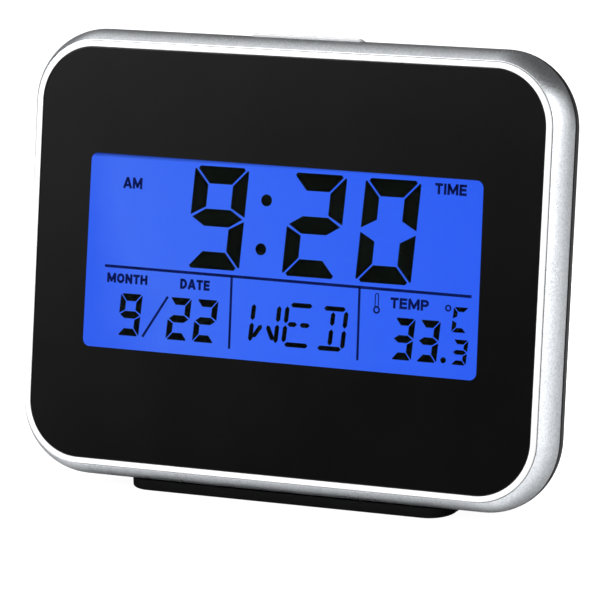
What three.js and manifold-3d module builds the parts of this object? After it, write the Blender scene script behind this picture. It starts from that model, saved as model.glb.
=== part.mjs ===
/**
 * Talking table clock: a lit display in a silver bezel, a talk bar on top, keys and a battery bay behind,
 * and a wedge foot.
 *
 * Units are millimetres and +Z is up. The clock faces -Y and stands on z = 0, its box centred on the origin.
 * The body leans back. Inside it, x runs to the right, y runs in from the front panel and z runs up along it.
 */
import * as THREE from 'three';
import { mergeVertices } from 'three/addons/utils/BufferGeometryUtils.js';
import Module from 'manifold-3d';

// Display window and front panel
const windowWidth = 87.5;
const windowHeight = 39.1;
const sideBorder = 12.25;
const endBorder = 22.4;
const panelCorner = 11.5;
const lensThickness = 1.7;
const lensClearance = 0.15;
const lensOpacity = 0.2;
const maskThickness = 0.3;

// Bezel
const lipWidth = 1.15;
const lipRise = 0.25;
const sideFlare = 2.5;
const sideDepth = 6;
const plateThickness = 2;
const tongueLength = 1.2;
const tongueGap = 0.4;

// Gaps that every piece keeps: seat between resting pieces, slip round moving ones, thread round screws
const seat = 0.3;
const slip = 0.3;
const threadGap = 0.15;

// Rear case
const rearWall = 2;
const rimRadius = 8.4;
const rearTaper = THREE.MathUtils.degToRad(28);
const backFillet = 3;
const backCorner = 7;

// Display stack, from the glass back to the board
const glassThickness = 2.8;
const glassTop = 1.5;
const filmThickness = 0.3;
const guideThickness = 3;
const guideEdge = 0.8;
const stripThickness = 2;
const stripInset = 6;
const lightBarThickness = 1.8;
const lightHousing = 1;
const lightCount = 3;
const lightWidth = 4;
const glassMargin = 0.5;
const holderWall = 1.6;

// Circuit board and what it carries
const boardThickness = 1.6;
const boardGap = 0.5;
const boardScrewEdge = 3;
const chipRadius = 5;
const chipHeight = 1.8;
const crystalRadius = 1;
const crystalLength = 6;
const sensorRadius = 1.1;
const sensorHeight = 3.5;

// Press switches under the talk bar and the keys
const switchWidth = 6;
const switchHeight = 3.5;
const plungerRadius = 1.75;
const plungerProud = 1;
const plungerDepth = 0.9;
const pressTravel = 0.9;

// Talk bar
const barWidth = 24.3;
const barDepth = 12;
const barProud = 0.45;
const barWall = 1.6;
const barSkirt = 0.8;
const barStemWidth = 4;
const barEarWidth = 1.5;
const barEarDepth = 2;

// Cells, their contacts and the bay that holds them
const cellDiameter = 10.5;
const cellLength = 44.5;
const cellNubRadius = 1.9;
const cellNubLength = 1;
const cellGap = 0.5;
const contactThickness = 0.5;
const contactWidth = 8;
const contactTabWidth = 3;
const springLength = 3;
const springRadius = 3;
const springTipRadius = 2;
const bayMargin = 4;
const trayWall = 1.6;
const trayGap = 0.5;
const bayWall = 2.2;
const doorThickness = 1.6;
const doorLedge = 1.2;
const doorGripWidth = 12;
const doorGripHeight = 4;
const doorGripDepth = 0.6;
const doorCorner = 1.5;

// Speaker
const speakerRadius = 14;
const speakerRimWidth = 1.4;
const speakerRimThickness = 1.3;
const basketDepth = 3;
const basketSheet = 0.8;
const basketHole = 3;
const basketFloorRadius = 7.5;
const coneSheet = 0.5;
const domeRadius = 4;
const domeRise = 1;
const magnetRadius = 6.5;
const magnetThickness = 3;
const speakerRib = 1;
const speakerRibHeight = 3.5;
const speakerGap = 1.5;
const grilleSlot = 1.6;
const grillePitch = 3.4;
const grilleMargin = 3;
const leadRadius = 0.6;
const leadReach = 3;

// Rear keys and alarm slider
const keyRadius = 4;
const keyProud = 1.2;
const keyRound = 0.8;
const keyFlange = 1;
const keyStemRadius = 2.2;
const keyPitch = 13;
const keyGap = 10;
const alarmWidth = 3.6;
const alarmHeight = 5;
const alarmProud = 1.2;
const alarmTravel = 4;
const alarmFlange = 1.5;
const alarmGap = 2.4;
const alarmSwitchWidth = 4.5;
const alarmSwitchHeight = 4.2;
const alarmSwitchMargin = 2.5;
const alarmLeverWidth = 1.8;
const alarmLeverProud = 2;

// Screws and the bosses that they go into
const boardScrew = { head: 2, headHeight: 1.5, shank: 1, length: 4.5, boss: 2.4 };
const caseScrew = { head: 2.4, headHeight: 1.8, shank: 1.25, length: 10, boss: 3 };
const footScrew = { head: 2.4, headHeight: 1.6, shank: 1.25, length: 7, boss: 3 };
const screwSlot = 0.7;
const screwSlotDepth = 0.8;
const bossGap = 0.6;
const caseScrewInset = 5.3;
const caseScrewSeat = 2;
const caseBossRise = 4;
const headGap = 0.4;
const tubeWall = 1.2;

// Foot
const lean = THREE.MathUtils.degToRad(12);
const footWidth = 72;
const footDepth = 32;
const footCorner = 5;
const footShow = 2.25;
const footAhead = 1.1;
const footRidge = 22.5;
const footRidgeHeight = 8.5;
const footTailHeight = 3.5;
const footWall = 2;
const footScrewX = 20;
const footScrewSeat = 2.4;
const padRadius = 3.5;
const padThickness = 1;
const padProud = 0.3;
const padInset = 6;

// How finely round shapes are stepped
const roundSteps = 16;
const cornerSteps = 6;
const sideSteps = 5;
const rimSteps = 4;
const filletSteps = 4;
const leadSides = 8;
const leadSteps = 8;

// Front panel
const panelHalfWidth = windowWidth / 2 + sideBorder;
const panelHalfHeight = windowHeight / 2 + endBorder;
const crest = lipWidth + sideFlare;
const sideRadius = (sideFlare ** 2 + sideDepth ** 2) / (2 * sideFlare);

// Depths of the stack, from the front panel's face
const maskFront = lensThickness + seat;
const maskBack = maskFront + maskThickness;
const plateFront = maskBack + seat;
const plateBack = plateFront + plateThickness;
const glassBack = plateFront + glassThickness;
const diffuserFront = glassBack + seat;
const guideFront = diffuserFront + filmThickness + seat;
const guideBack = guideFront + guideThickness;
const reflectorFront = guideBack + seat;
const boardFront = reflectorFront + filmThickness + seat;
const boardBack = boardFront + boardThickness;
const partFront = boardBack + seat;
const trayFront = partFront + trayGap;
const bayFloor = trayFront + trayWall;
const cellCentre = bayFloor + seat + cellDiameter / 2;
const doorFront = cellCentre + cellDiameter / 2 + seat;
const backDepth = doorFront + doorThickness;
const backInner = backDepth - rearWall;

// Reach of the rear case past the panel's edge, at the end of its rim and at its flat back
const rimEndReach = crest - rimRadius * (1 - Math.cos(rearTaper));
const rimEndDepth = sideDepth + rimRadius * Math.sin(rearTaper);
const taperDepth = backDepth - backFillet - rimEndDepth;
const backReach = rimEndReach - (backFillet + Math.sin(rearTaper) * taperDepth) / Math.cos(rearTaper);
const backHalfWidth = panelHalfWidth + backReach;
const backHalfHeight = panelHalfHeight + backReach;
const taperWall = rearWall / Math.cos(rearTaper);

// Display glass: its foot carries the connector strip, and its left end covers the light bar
const stripTop = -windowHeight / 2 - guideEdge - seat;
const glassFoot = stripTop - stripThickness - glassMargin;
const glassHead = windowHeight / 2 + glassTop;
const glassHeight = glassHead - glassFoot;
const glassMiddle = (glassHead + glassFoot) / 2;
const lightBarRight = -windowWidth / 2 - guideEdge - seat;
const glassHalfWidth = lightBarThickness + glassMargin - lightBarRight;
const openingWidth = 2 * (glassHalfWidth + seat);
const openingHeight = glassHeight + 2 * seat;
const holderReach = openingHeight / 2 + holderWall - glassMiddle;

// Places of the screws and the board's outline
const caseScrewU = backHalfWidth - caseScrewInset;
const caseScrewV = holderReach + bossGap + caseScrew.boss;
const boardHalfWidth = caseScrewU - caseScrew.boss - boardGap;
const boardScrewU = boardHalfWidth - boardScrewEdge;
const boardScrewV = holderReach + bossGap + boardScrew.boss;
const boardHalfHeight = boardScrewV + boardScrewEdge;
const caseBossBack = boardBack + caseBossRise;
const caseSeatBack = caseBossBack + seat + caseScrewSeat;
const headHole = caseScrew.head + headGap;

// Battery bay
const bayLength = cellLength + springLength + 2 * contactThickness + 4 * seat;
const bayHeight = 2 * cellDiameter + 3 * cellGap;
const bayMiddle = bayMargin - backHalfHeight + bayHeight / 2;
const cellOffset = (cellDiameter + cellGap) / 2;
const trayLength = bayLength + 2 * bayWall;
const trayHeight = bayHeight + 2 * bayWall;
const doorLength = bayLength + 2 * doorLedge;
const doorHeight = bayHeight + 2 * doorLedge;

// Speaker, keys and alarm slider on the back
const ribRadius = speakerRadius + slip + speakerRib;
const speakerMiddle = bayMiddle + trayHeight / 2 + speakerGap + ribRadius;
const speakerBack = backInner - seat;
const rimFront = speakerBack - speakerRimThickness;
const basketFloor = rimFront - basketDepth;
const keyColumn = ribRadius + keyGap + keyRadius;
const flangeBack = backInner - seat;
const switchBack = partFront + switchHeight;
const alarmColumn = trayLength / 2 + alarmGap + alarmWidth / 2 + alarmFlange;
const alarmSwitchBack = partFront + alarmSwitchHeight;

// Talk bar
const barFront = sideDepth + seat;
const barBack = sideDepth + barDepth;
const barFloor = panelHalfHeight + rearReach(barBack) - taperWall - barSkirt;
const barStemDepth = partFront + switchWidth / 2;
const talkSwitchFoot = boardHalfHeight - switchHeight;

// Where the body stands: its lowest bezel line clears the foot's underside by footShow
const crestDrop = (panelHalfHeight + crest) * Math.cos(lean) + sideDepth * Math.sin(lean);
const panelHeight = padProud + footShow + crestDrop;
const footFront = sideDepth * Math.cos(lean) - (panelHalfHeight + crest) * Math.sin(lean) - footAhead;
const footMiddle = footFront + footDepth / 2;
const footTail = footFront + footDepth;
const footScrewY = footMiddle;
const footScrewPlaces = [-footScrewX, footScrewX];
const footSeatTop = padProud + footScrewSeat;
const bodyPlace = new THREE.Matrix4().makeRotationX(-lean).setPosition(0, 0, panelHeight);

const wasm = await Module();
wasm.setup();

/** Reach of the rear case past the panel's edge at a depth on its rim or its straight taper. */
function rearReach(depth) {
  if (depth < rimEndDepth) {
    return crest - rimRadius + Math.sqrt(rimRadius ** 2 - (depth - sideDepth) ** 2);
  }
  return rimEndReach - (depth - rimEndDepth) * Math.tan(rearTaper);
}

/** A closed geometry as a solid that can be joined and cut; a solid passes through unchanged. */
function solidOf(shape) {
  if (!shape.isBufferGeometry) {
    return shape;
  }
  const bare = new THREE.BufferGeometry();
  bare.setAttribute('position', shape.getAttribute('position'));
  bare.setIndex(shape.index);
  const merged = mergeVertices(bare);
  const corners = merged.index.array;
  const triangles = [];
  for (let i = 0; i < corners.length; i += 3) {
    const [a, b, c] = [corners[i], corners[i + 1], corners[i + 2]];
    if (a !== b && b !== c && c !== a) {
      triangles.push(a, b, c);
    }
  }
  const vertProperties = merged.getAttribute('position').array;
  const triVerts = new Uint32Array(triangles);
  return new wasm.Manifold(new wasm.Mesh({ numProp: 3, vertProperties, triVerts }));
}

/** All shapes joined into one solid. */
function fuse(...shapes) {
  return shapes.map(solidOf).reduce((whole, shape) => whole.add(shape));
}

/** A shape with every tool cut out of it. */
function cut(shape, ...tools) {
  return tools.map(solidOf).reduce((left, tool) => left.subtract(tool), solidOf(shape));
}

/** What two shapes share. */
function shared(first, second) {
  return solidOf(first).intersect(solidOf(second));
}

/** A named mesh with a finish of its own. */
function piece(name, shape, color, roughness, metalness = 0) {
  const mesh = solidOf(shape).getMesh();
  const geometry = new THREE.BufferGeometry();
  geometry.setAttribute('position', new THREE.BufferAttribute(new Float32Array(mesh.vertProperties), 3));
  geometry.setIndex(new THREE.BufferAttribute(new Uint32Array(mesh.triVerts), 1));
  geometry.computeVertexNormals();
  const made = new THREE.Mesh(geometry, new THREE.MeshStandardMaterial({ color, roughness, metalness }));
  made.name = name;
  return made;
}

/** Box between two depths, centred at (u, v). */
function block(width, height, front, back, u = 0, v = 0) {
  return new THREE.BoxGeometry(width, back - front, height).translate(u, (front + back) / 2, v);
}

/** Round bar along the depth, centred at (u, v). */
function rod(radius, front, back, u = 0, v = 0) {
  const bar = new THREE.CylinderGeometry(radius, radius, back - front, roundSteps);
  return bar.translate(u, (front + back) / 2, v);
}

/** Upright round post in the foot's own frame, where y runs to the back and z runs up. */
function post(radius, low, high, x, y) {
  const bar = new THREE.CylinderGeometry(radius, radius, high - low, roundSteps);
  return bar.rotateX(Math.PI / 2).translate(x, y, (low + high) / 2);
}

/** Solid turned about an axis along the depth; its [radius, depth] pairs run back along its outer side. */
function turned(profile, u = 0, v = 0) {
  const points = profile.map(([radius, depth]) => new THREE.Vector2(radius, depth));
  return new THREE.LatheGeometry(points, roundSteps).translate(u, 0, v);
}

/** Quarter ellipse from the edge of a dome to its top, as [radius, depth] pairs. */
function dome(radius, edge, height) {
  return Array.from({ length: rimSteps + 1 }, (_, step) => {
    const angle = (Math.PI / 2) * (step / rimSteps);
    return [radius * Math.cos(angle), edge + height * Math.sin(angle)];
  });
}

/** Prism across the clock from points given as [depth, height], centred on x = 0. */
function crossPrism(points, width) {
  const outline = new THREE.Shape(points.map(([depth, height]) => new THREE.Vector2(depth, height)));
  const prism = new THREE.ExtrudeGeometry(outline, { depth: width, bevelEnabled: false });
  const turn = new THREE.Matrix4().makeBasis(
    new THREE.Vector3(0, 1, 0),
    new THREE.Vector3(0, 0, 1),
    new THREE.Vector3(1, 0, 0),
  );
  return prism.applyMatrix4(turn).translate(-width / 2, 0, 0);
}

/** Points of a rounded rectangle, anticlockwise as seen from the front. */
function roundedOutline({ halfWidth, halfHeight, corner }) {
  const points = [];
  for (let quarter = 0; quarter < 4; quarter += 1) {
    const side = quarter === 0 || quarter === 3 ? 1 : -1;
    const end = quarter < 2 ? 1 : -1;
    for (let step = 0; step <= cornerSteps; step += 1) {
      const angle = (Math.PI / 2) * (quarter + step / cornerSteps);
      const u = side * (halfWidth - corner) + corner * Math.cos(angle);
      const v = end * (halfHeight - corner) + corner * Math.sin(angle);
      points.push([u, v]);
    }
  }
  return points;
}

/** Closed solid through rounded rectangles, from the front one to the back one. */
function loft(rings) {
  const outlines = rings.map(roundedOutline);
  const count = outlines[0].length;
  const last = rings.length - 1;
  const positions = rings.flatMap((ring, i) => outlines[i].flatMap(([u, v]) => [u, ring.depth, v]));
  positions.push(0, rings[0].depth, 0, 0, rings[last].depth, 0);
  const frontCentre = rings.length * count;
  const corners = [];
  for (let k = 0; k < count; k += 1) {
    const next = (k + 1) % count;
    corners.push(frontCentre, k, next);
    corners.push(frontCentre + 1, last * count + next, last * count + k);
    for (let i = 0; i < last; i += 1) {
      const near = i * count;
      const far = near + count;
      corners.push(near + k, far + k, near + next, far + k, far + next, near + next);
    }
  }
  const geometry = new THREE.BufferGeometry();
  geometry.setAttribute('position', new THREE.Float32BufferAttribute(positions, 3));
  return geometry.setIndex(corners);
}

/** Plate with rounded corners between two depths, centred at (u, v). */
function plate(width, height, corner, front, back, u = 0, v = 0) {
  const ring = { halfWidth: width / 2, halfHeight: height / 2, corner };
  return loft([{ ...ring, depth: front }, { ...ring, depth: back }]).translate(u, 0, v);
}

/** Ring round the panel, pushed out past the panel's edge by a reach. */
function panelRing(reach, depth, corner = panelCorner + reach) {
  return { halfWidth: panelHalfWidth + reach, halfHeight: panelHalfHeight + reach, corner, depth };
}

/** Rings of the bezel's outside, from the lip to its widest line, grown by an offset. */
function bezelRings(offset) {
  const rings = [panelRing(lipWidth + offset, -lipRise - offset)];
  const start = Math.asin(sideDepth / sideRadius);
  for (let step = 0; step <= sideSteps; step += 1) {
    const angle = start * (1 - step / sideSteps);
    const reach = crest - sideRadius + (sideRadius + offset) * Math.cos(angle);
    rings.push(panelRing(reach, sideDepth - (sideRadius + offset) * Math.sin(angle)));
  }
  return rings;
}

/** Rings of the rear case's outside, from its rim to its flat back, grown by an offset. */
function rearRings(offset) {
  const rimCorner = panelCorner + crest;
  const ring = (centreReach, centreDepth, radius, angle) => {
    const share = (centreReach + radius * Math.cos(angle) - backReach) / (crest - backReach);
    const growth = offset * Math.cos(angle);
    const corner = backCorner + (rimCorner - backCorner) * share + growth;
    const reach = centreReach + radius * Math.cos(angle) + growth;
    return panelRing(reach, centreDepth + (radius + offset) * Math.sin(angle), corner);
  };
  const rings = [];
  for (let step = 0; step <= rimSteps; step += 1) {
    rings.push(ring(crest - rimRadius, sideDepth, rimRadius, (rearTaper * step) / rimSteps));
  }
  for (let step = 0; step <= filletSteps; step += 1) {
    const angle = rearTaper + ((Math.PI / 2 - rearTaper) * step) / filletSteps;
    rings.push(ring(backReach, backDepth - backFillet, backFillet, angle));
  }
  return rings;
}

/** The four places at equal distances from the middle. */
function fourPlaces(u, v) {
  return [[-u, v], [u, v], [-u, -v], [u, -v]];
}

/** Screw along the depth whose head rests with its underside at a depth and faces the back. */
function screw(size, underside, u = 0, v = 0) {
  const { head, headHeight, shank, length } = size;
  const tip = underside - length;
  const top = underside + headHeight;
  const body = turned([
    [0, tip],
    [shank, tip + shank],
    [shank, underside],
    [head, underside],
    [head, top - headHeight / 2],
    [head - headHeight / 2, top],
    [0, top],
  ], u, v);
  const slotLength = 2 * (head - headHeight / 2);
  return cut(
    body,
    block(slotLength, screwSlot, top - screwSlotDepth, top + seat, u, v),
    block(screwSlot, slotLength, top - screwSlotDepth, top + seat, u, v),
  );
}

function makeBezel() {
  const tongueReach = crest - rearWall - tongueGap;
  const tongueBack = sideDepth + tongueLength;
  const shell = cut(
    fuse(loft(bezelRings(0)), loft([panelRing(tongueReach, plateBack), panelRing(tongueReach, tongueBack)])),
    loft([panelRing(0, -lipRise - seat), panelRing(0, plateFront)]),
    loft([panelRing(0, plateBack), panelRing(0, tongueBack + seat)]),
    block(openingWidth, openingHeight, plateFront - seat, plateBack + seat, 0, glassMiddle),
    block(barWidth + 2 * slip, panelHalfHeight, sideDepth, tongueBack + seat, 0, panelHalfHeight),
  );
  const boardBosses = fourPlaces(boardScrewU, boardScrewV).map(([u, v]) => cut(
    rod(boardScrew.boss, plateBack - plateThickness / 2, boardFront - seat, u, v),
    rod(boardScrew.shank + threadGap, plateBack, boardFront, u, v),
  ));
  const caseBosses = fourPlaces(caseScrewU, caseScrewV).map(([u, v]) => cut(
    rod(caseScrew.boss, plateBack - plateThickness / 2, caseBossBack, u, v),
    rod(caseScrew.shank + threadGap, plateBack, caseBossBack + seat, u, v),
  ));
  return piece('front_bezel', fuse(shell, ...boardBosses, ...caseBosses), 0xc9ccd2, 0.35, 0.6);
}

function makeFront() {
  const edge = -lensClearance;
  const film = loft([panelRing(edge, maskFront), panelRing(edge, maskBack)]);
  const opening = block(windowWidth, windowHeight, maskFront - seat, maskBack + seat);
  const pane = loft([panelRing(edge, 0), panelRing(edge, lensThickness)]);
  const lens = piece('front_lens', pane, 0x202226, 0.05);
  lens.material.transparent = true;
  lens.material.opacity = lensOpacity;
  return [lens, piece('window_mask', cut(film, opening), 0x08080a, 0.4)];
}

function makeDisplay() {
  const guideHeight = glassHead - stripTop - seat;
  const guideMiddle = (glassHead + stripTop + seat) / 2;
  const guideWidth = windowWidth + 2 * guideEdge;
  const holderFront = plateBack + seat;
  const holderBack = boardFront - seat;
  const holderWidth = openingWidth + 2 * holderWall;
  const holderHeight = openingHeight + 2 * holderWall;
  const holder = cut(
    block(holderWidth, holderHeight, holderFront, holderBack, 0, glassMiddle),
    block(openingWidth, openingHeight, holderFront - seat, holderBack + seat, 0, glassMiddle),
  );
  const lightU = lightBarRight - lightBarThickness / 2;
  const housingU = lightBarRight - lightHousing / 2;
  const boardU = lightU - lightHousing / 2;
  const lights = Array.from({ length: lightCount }, (_, i) => {
    const v = guideMiddle + (guideHeight * (i - (lightCount - 1) / 2)) / lightCount;
    return block(lightHousing, lightWidth, guideFront, guideBack, housingU, v);
  });
  const lightBoardThickness = lightBarThickness - lightHousing;
  const lightBoard = block(lightBoardThickness, guideHeight, guideFront, guideBack, boardU, guideMiddle);
  const stripV = stripTop - stripThickness / 2;
  const stripWidth = 2 * (boardHalfWidth - stripInset);
  const sheet = (front, back) => block(guideWidth, guideHeight, front, back, 0, guideMiddle);
  const glass = block(2 * glassHalfWidth, glassHeight, plateFront, glassBack, 0, glassMiddle);
  return [
    piece('display_glass', glass, 0x2f5cf5, 0.2),
    piece('display_holder', holder, 0xe8e8e4, 0.5),
    piece('diffuser_film', sheet(diffuserFront, diffuserFront + filmThickness), 0xf4f4f4, 0.6),
    piece('light_guide', sheet(guideFront, guideBack), 0xdfe8ff, 0.1),
    piece('reflector_film', sheet(reflectorFront, reflectorFront + filmThickness), 0xffffff, 0.5),
    piece('light_bar', fuse(lightBoard, ...lights), 0xf2f0e0, 0.5),
    piece(
      'connector_strip',
      block(stripWidth, stripThickness, diffuserFront, boardFront - seat, 0, stripV),
      0x4a4a4e,
      0.8,
    ),
  ];
}

function makeBoard() {
  const holes = fourPlaces(boardScrewU, boardScrewV).map(([u, v]) => (
    rod(boardScrew.shank + threadGap, boardFront - seat, boardBack + seat, u, v)
  ));
  const board = cut(block(2 * boardHalfWidth, 2 * boardHalfHeight, boardFront, boardBack), ...holes);
  const chip = turned([[0, partFront], ...dome(chipRadius, partFront, chipHeight)], 0, speakerMiddle);
  const crystal = new THREE.CylinderGeometry(crystalRadius, crystalRadius, crystalLength, roundSteps)
    .rotateZ(Math.PI / 2)
    .translate(chipRadius + crystalLength, partFront + crystalRadius, speakerMiddle);
  const beadEdge = partFront + sensorHeight - sensorRadius;
  const bead = [[0, partFront], [sensorRadius, partFront], ...dome(sensorRadius, beadEdge, sensorRadius)];
  const sensor = turned(bead, -alarmColumn, bayMiddle);
  const screws = fourPlaces(boardScrewU, boardScrewV).map(([u, v], i) => (
    piece(`board_screw_${i + 1}`, screw(boardScrew, partFront, u, v), 0xb9bcc0, 0.3, 0.9)
  ));
  return [
    piece('circuit_board', board, 0x1f6b3a, 0.5),
    piece('voice_chip', chip, 0x101012, 0.35),
    piece('quartz_crystal', crystal, 0xc4c6ca, 0.25, 0.9),
    piece('temperature_sensor', sensor, 0x2a1c14, 0.4),
    ...screws,
  ];
}

/** Press switch standing on y = 0, with a well for its plunger. */
function switchBody() {
  const well = switchHeight - plungerDepth - pressTravel - seat;
  return cut(
    block(switchWidth, switchWidth, 0, switchHeight),
    rod(plungerRadius + slip, well, switchHeight + seat),
  );
}

/** Plunger of a press switch that stands on y = 0. */
function switchPlunger() {
  return rod(plungerRadius, switchHeight - plungerDepth, switchHeight + plungerProud);
}

function makeKeys() {
  const names = ['mode', 'set', 'up', 'down'];
  const places = fourPlaces(keyColumn, keyPitch / 2);
  const stemFront = switchBack + plungerProud + seat;
  const keyTop = backDepth + keyProud;
  return names.flatMap((name, i) => {
    const u = places[i][0];
    const v = speakerMiddle + places[i][1];
    const cap = turned([
      [0, stemFront],
      [keyStemRadius, stemFront],
      [keyStemRadius, flangeBack - keyFlange],
      [keyRadius + keyFlange, flangeBack - keyFlange],
      [keyRadius + keyFlange, flangeBack],
      [keyRadius, flangeBack],
      [keyRadius, keyTop - keyRound],
      [keyRadius - keyRound, keyTop],
      [0, keyTop],
    ], u, v);
    const body = piece(`${name}_switch`, switchBody(), 0x1a1a1c, 0.5);
    const plunger = piece(`${name}_plunger`, switchPlunger(), 0x6b2a22, 0.5);
    body.position.set(u, partFront, v);
    plunger.position.copy(body.position);
    return [piece(`${name}_key`, cap, 0x2b2c30, 0.45), body, plunger];
  });
}

function makeAlarmSwitch() {
  const rest = bayMiddle - alarmTravel / 2;
  const bodyHeight = alarmLeverWidth + alarmTravel + 2 * alarmSwitchMargin;
  const leverBack = alarmSwitchBack + alarmLeverProud;
  const leverFront = alarmSwitchBack - alarmLeverProud / 2;
  const body = cut(
    block(alarmSwitchWidth, bodyHeight, partFront, alarmSwitchBack, alarmColumn, bayMiddle),
    block(
      alarmLeverWidth + 2 * slip,
      alarmLeverWidth + alarmTravel + 2 * slip,
      leverFront - seat,
      alarmSwitchBack + seat,
      alarmColumn,
      bayMiddle,
    ),
  );
  const lever = block(alarmLeverWidth, alarmLeverWidth, leverFront, leverBack, alarmColumn, rest);
  const flange = block(
    alarmWidth + 2 * alarmFlange,
    alarmHeight + 2 * alarmFlange,
    flangeBack - keyFlange,
    flangeBack,
    alarmColumn,
    rest,
  );
  const knobBack = backDepth + alarmProud;
  const knob = block(alarmWidth, alarmHeight, flangeBack - keyFlange, knobBack, alarmColumn, rest);
  const stem = block(alarmWidth, alarmWidth, leverBack + seat, flangeBack, alarmColumn, rest);
  return [
    piece('alarm_slider', fuse(flange, knob, stem), 0xc8c9cc, 0.45),
    piece('alarm_lever', lever, 0x1a1a1c, 0.5),
    piece('alarm_switch', body, 0xb4b7bb, 0.35, 0.9),
  ];
}

/** Outline of the talk bar seen from the side, shrunk by an inset on its front, back and top. */
function barOutline(inset) {
  const front = barFront + inset;
  const back = barBack - inset;
  const points = [[front, barFloor - inset], [back, barFloor - inset]];
  for (let step = 0; step <= sideSteps; step += 1) {
    const depth = back + ((front - back) * step) / sideSteps;
    points.push([depth, panelHalfHeight + rearReach(depth) + barProud - inset]);
  }
  return points;
}

function makeTalkBar() {
  const earBack = rimEndDepth + barEarDepth / 2;
  const earTop = panelHalfHeight + rearReach(earBack) - taperWall - seat;
  const ears = block(
    barWidth + 2 * barEarWidth,
    earTop - barFloor,
    earBack - barEarDepth,
    earBack,
    0,
    (earTop + barFloor) / 2,
  );
  const stemFoot = talkSwitchFoot + switchHeight + plungerProud + seat;
  const stemHead = panelHalfHeight + rearReach(barStemDepth) - barWall / 2;
  const stem = block(
    barStemWidth,
    stemHead - stemFoot,
    barStemDepth - plungerRadius,
    barStemDepth + plungerRadius,
    0,
    (stemHead + stemFoot) / 2,
  );
  const innerWidth = barWidth - 2 * barWall;
  const cap = cut(crossPrism(barOutline(0), barWidth), crossPrism(barOutline(barWall), innerWidth));
  const room = block(innerWidth, earTop, earBack - barEarDepth - seat, earBack + seat, 0, barFloor);
  const body = piece('talk_switch', switchBody(), 0x1a1a1c, 0.5);
  const plunger = piece('talk_plunger', switchPlunger(), 0x6b2a22, 0.5);
  [body, plunger].forEach((mesh) => {
    mesh.rotation.x = Math.PI / 2;
    mesh.position.set(0, barStemDepth, talkSwitchFoot);
  });
  return [piece('talk_bar', fuse(cap, cut(ears, room), stem), 0xe6e7ea, 0.3), body, plunger];
}

function makeSpeaker() {
  const coneRadius = speakerRadius - speakerRimWidth;
  const basket = turned([
    [basketHole, basketFloor],
    [basketFloorRadius, basketFloor],
    [coneRadius - basketSheet, rimFront],
    [speakerRadius, rimFront],
    [speakerRadius, speakerBack],
    [coneRadius, speakerBack],
    [basketFloorRadius - basketSheet, basketFloor + basketSheet],
    [basketHole, basketFloor + basketSheet],
    [basketHole, basketFloor],
  ], 0, speakerMiddle);
  const coneFront = basketFloor + basketSheet + seat;
  const coneFoot = basketFloorRadius - basketSheet;
  const slope = (speakerBack - basketFloor - basketSheet) / (coneRadius - coneFoot);
  const coneEdge = coneRadius - (seat + coneSheet) / slope;
  const cone = turned([
    [0, coneFront + domeRise],
    [domeRadius, coneFront],
    [coneFoot, coneFront],
    [coneEdge, speakerBack - coneSheet],
    [coneEdge, speakerBack],
    [coneFoot, coneFront + coneSheet],
    [domeRadius, coneFront + coneSheet],
    [0, coneFront + domeRise + coneSheet],
  ], 0, speakerMiddle);
  const magnetBack = basketFloor - seat;
  const magnet = rod(magnetRadius, magnetBack - magnetThickness, magnetBack, 0, speakerMiddle);
  const leadStart = speakerRadius - leadRadius - seat;
  const leadBend = backInner - speakerRibHeight - 2 * leadRadius;
  const leadEnd = leadStart + leadReach;
  const route = new THREE.CatmullRomCurve3([
    new THREE.Vector3(leadStart, rimFront - seat, speakerMiddle),
    new THREE.Vector3(leadStart, leadBend, speakerMiddle),
    new THREE.Vector3((leadStart + leadEnd) / 2, (leadBend + partFront) / 2, speakerMiddle),
    new THREE.Vector3(leadEnd, partFront + leadReach, speakerMiddle),
    new THREE.Vector3(leadEnd, partFront, speakerMiddle),
  ]);
  const round = new THREE.Shape().absarc(0, 0, leadRadius, 0, 2 * Math.PI);
  const lead = new THREE.ExtrudeGeometry(round, {
    curveSegments: leadSides / 2,
    steps: leadSteps,
    extrudePath: route,
  });
  return [
    piece('speaker_basket', basket, 0x8a8d92, 0.4, 0.8),
    piece('speaker_cone', cone, 0x1b1b1d, 0.6),
    piece('speaker_magnet', magnet, 0x3a3c40, 0.5, 0.5),
    piece('speaker_lead', lead, 0xb02020, 0.5),
  ];
}

/** Cell along x with its nub at the end that direction (1 or -1) points to, and that end at x = tip. */
function cell(direction, tip, v) {
  const radius = cellDiameter / 2;
  const shoulder = cellLength - cellNubLength;
  return turned([
    [0, 0],
    [radius, 0],
    [radius, shoulder],
    [cellNubRadius, shoulder],
    [cellNubRadius, cellLength],
    [0, cellLength],
  ])
    .translate(0, -cellLength, 0)
    .rotateZ((-direction * Math.PI) / 2)
    .translate(tip, cellCentre, v);
}

/** Coil spring's outline as a blunt cone that stands on a contact and points along x. */
function contactSpring(direction, root, v) {
  return turned([[0, 0], [springRadius, 0], [springTipRadius, springLength], [0, springLength]])
    .rotateZ((-direction * Math.PI) / 2)
    .translate(root, cellCentre, v);
}

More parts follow.
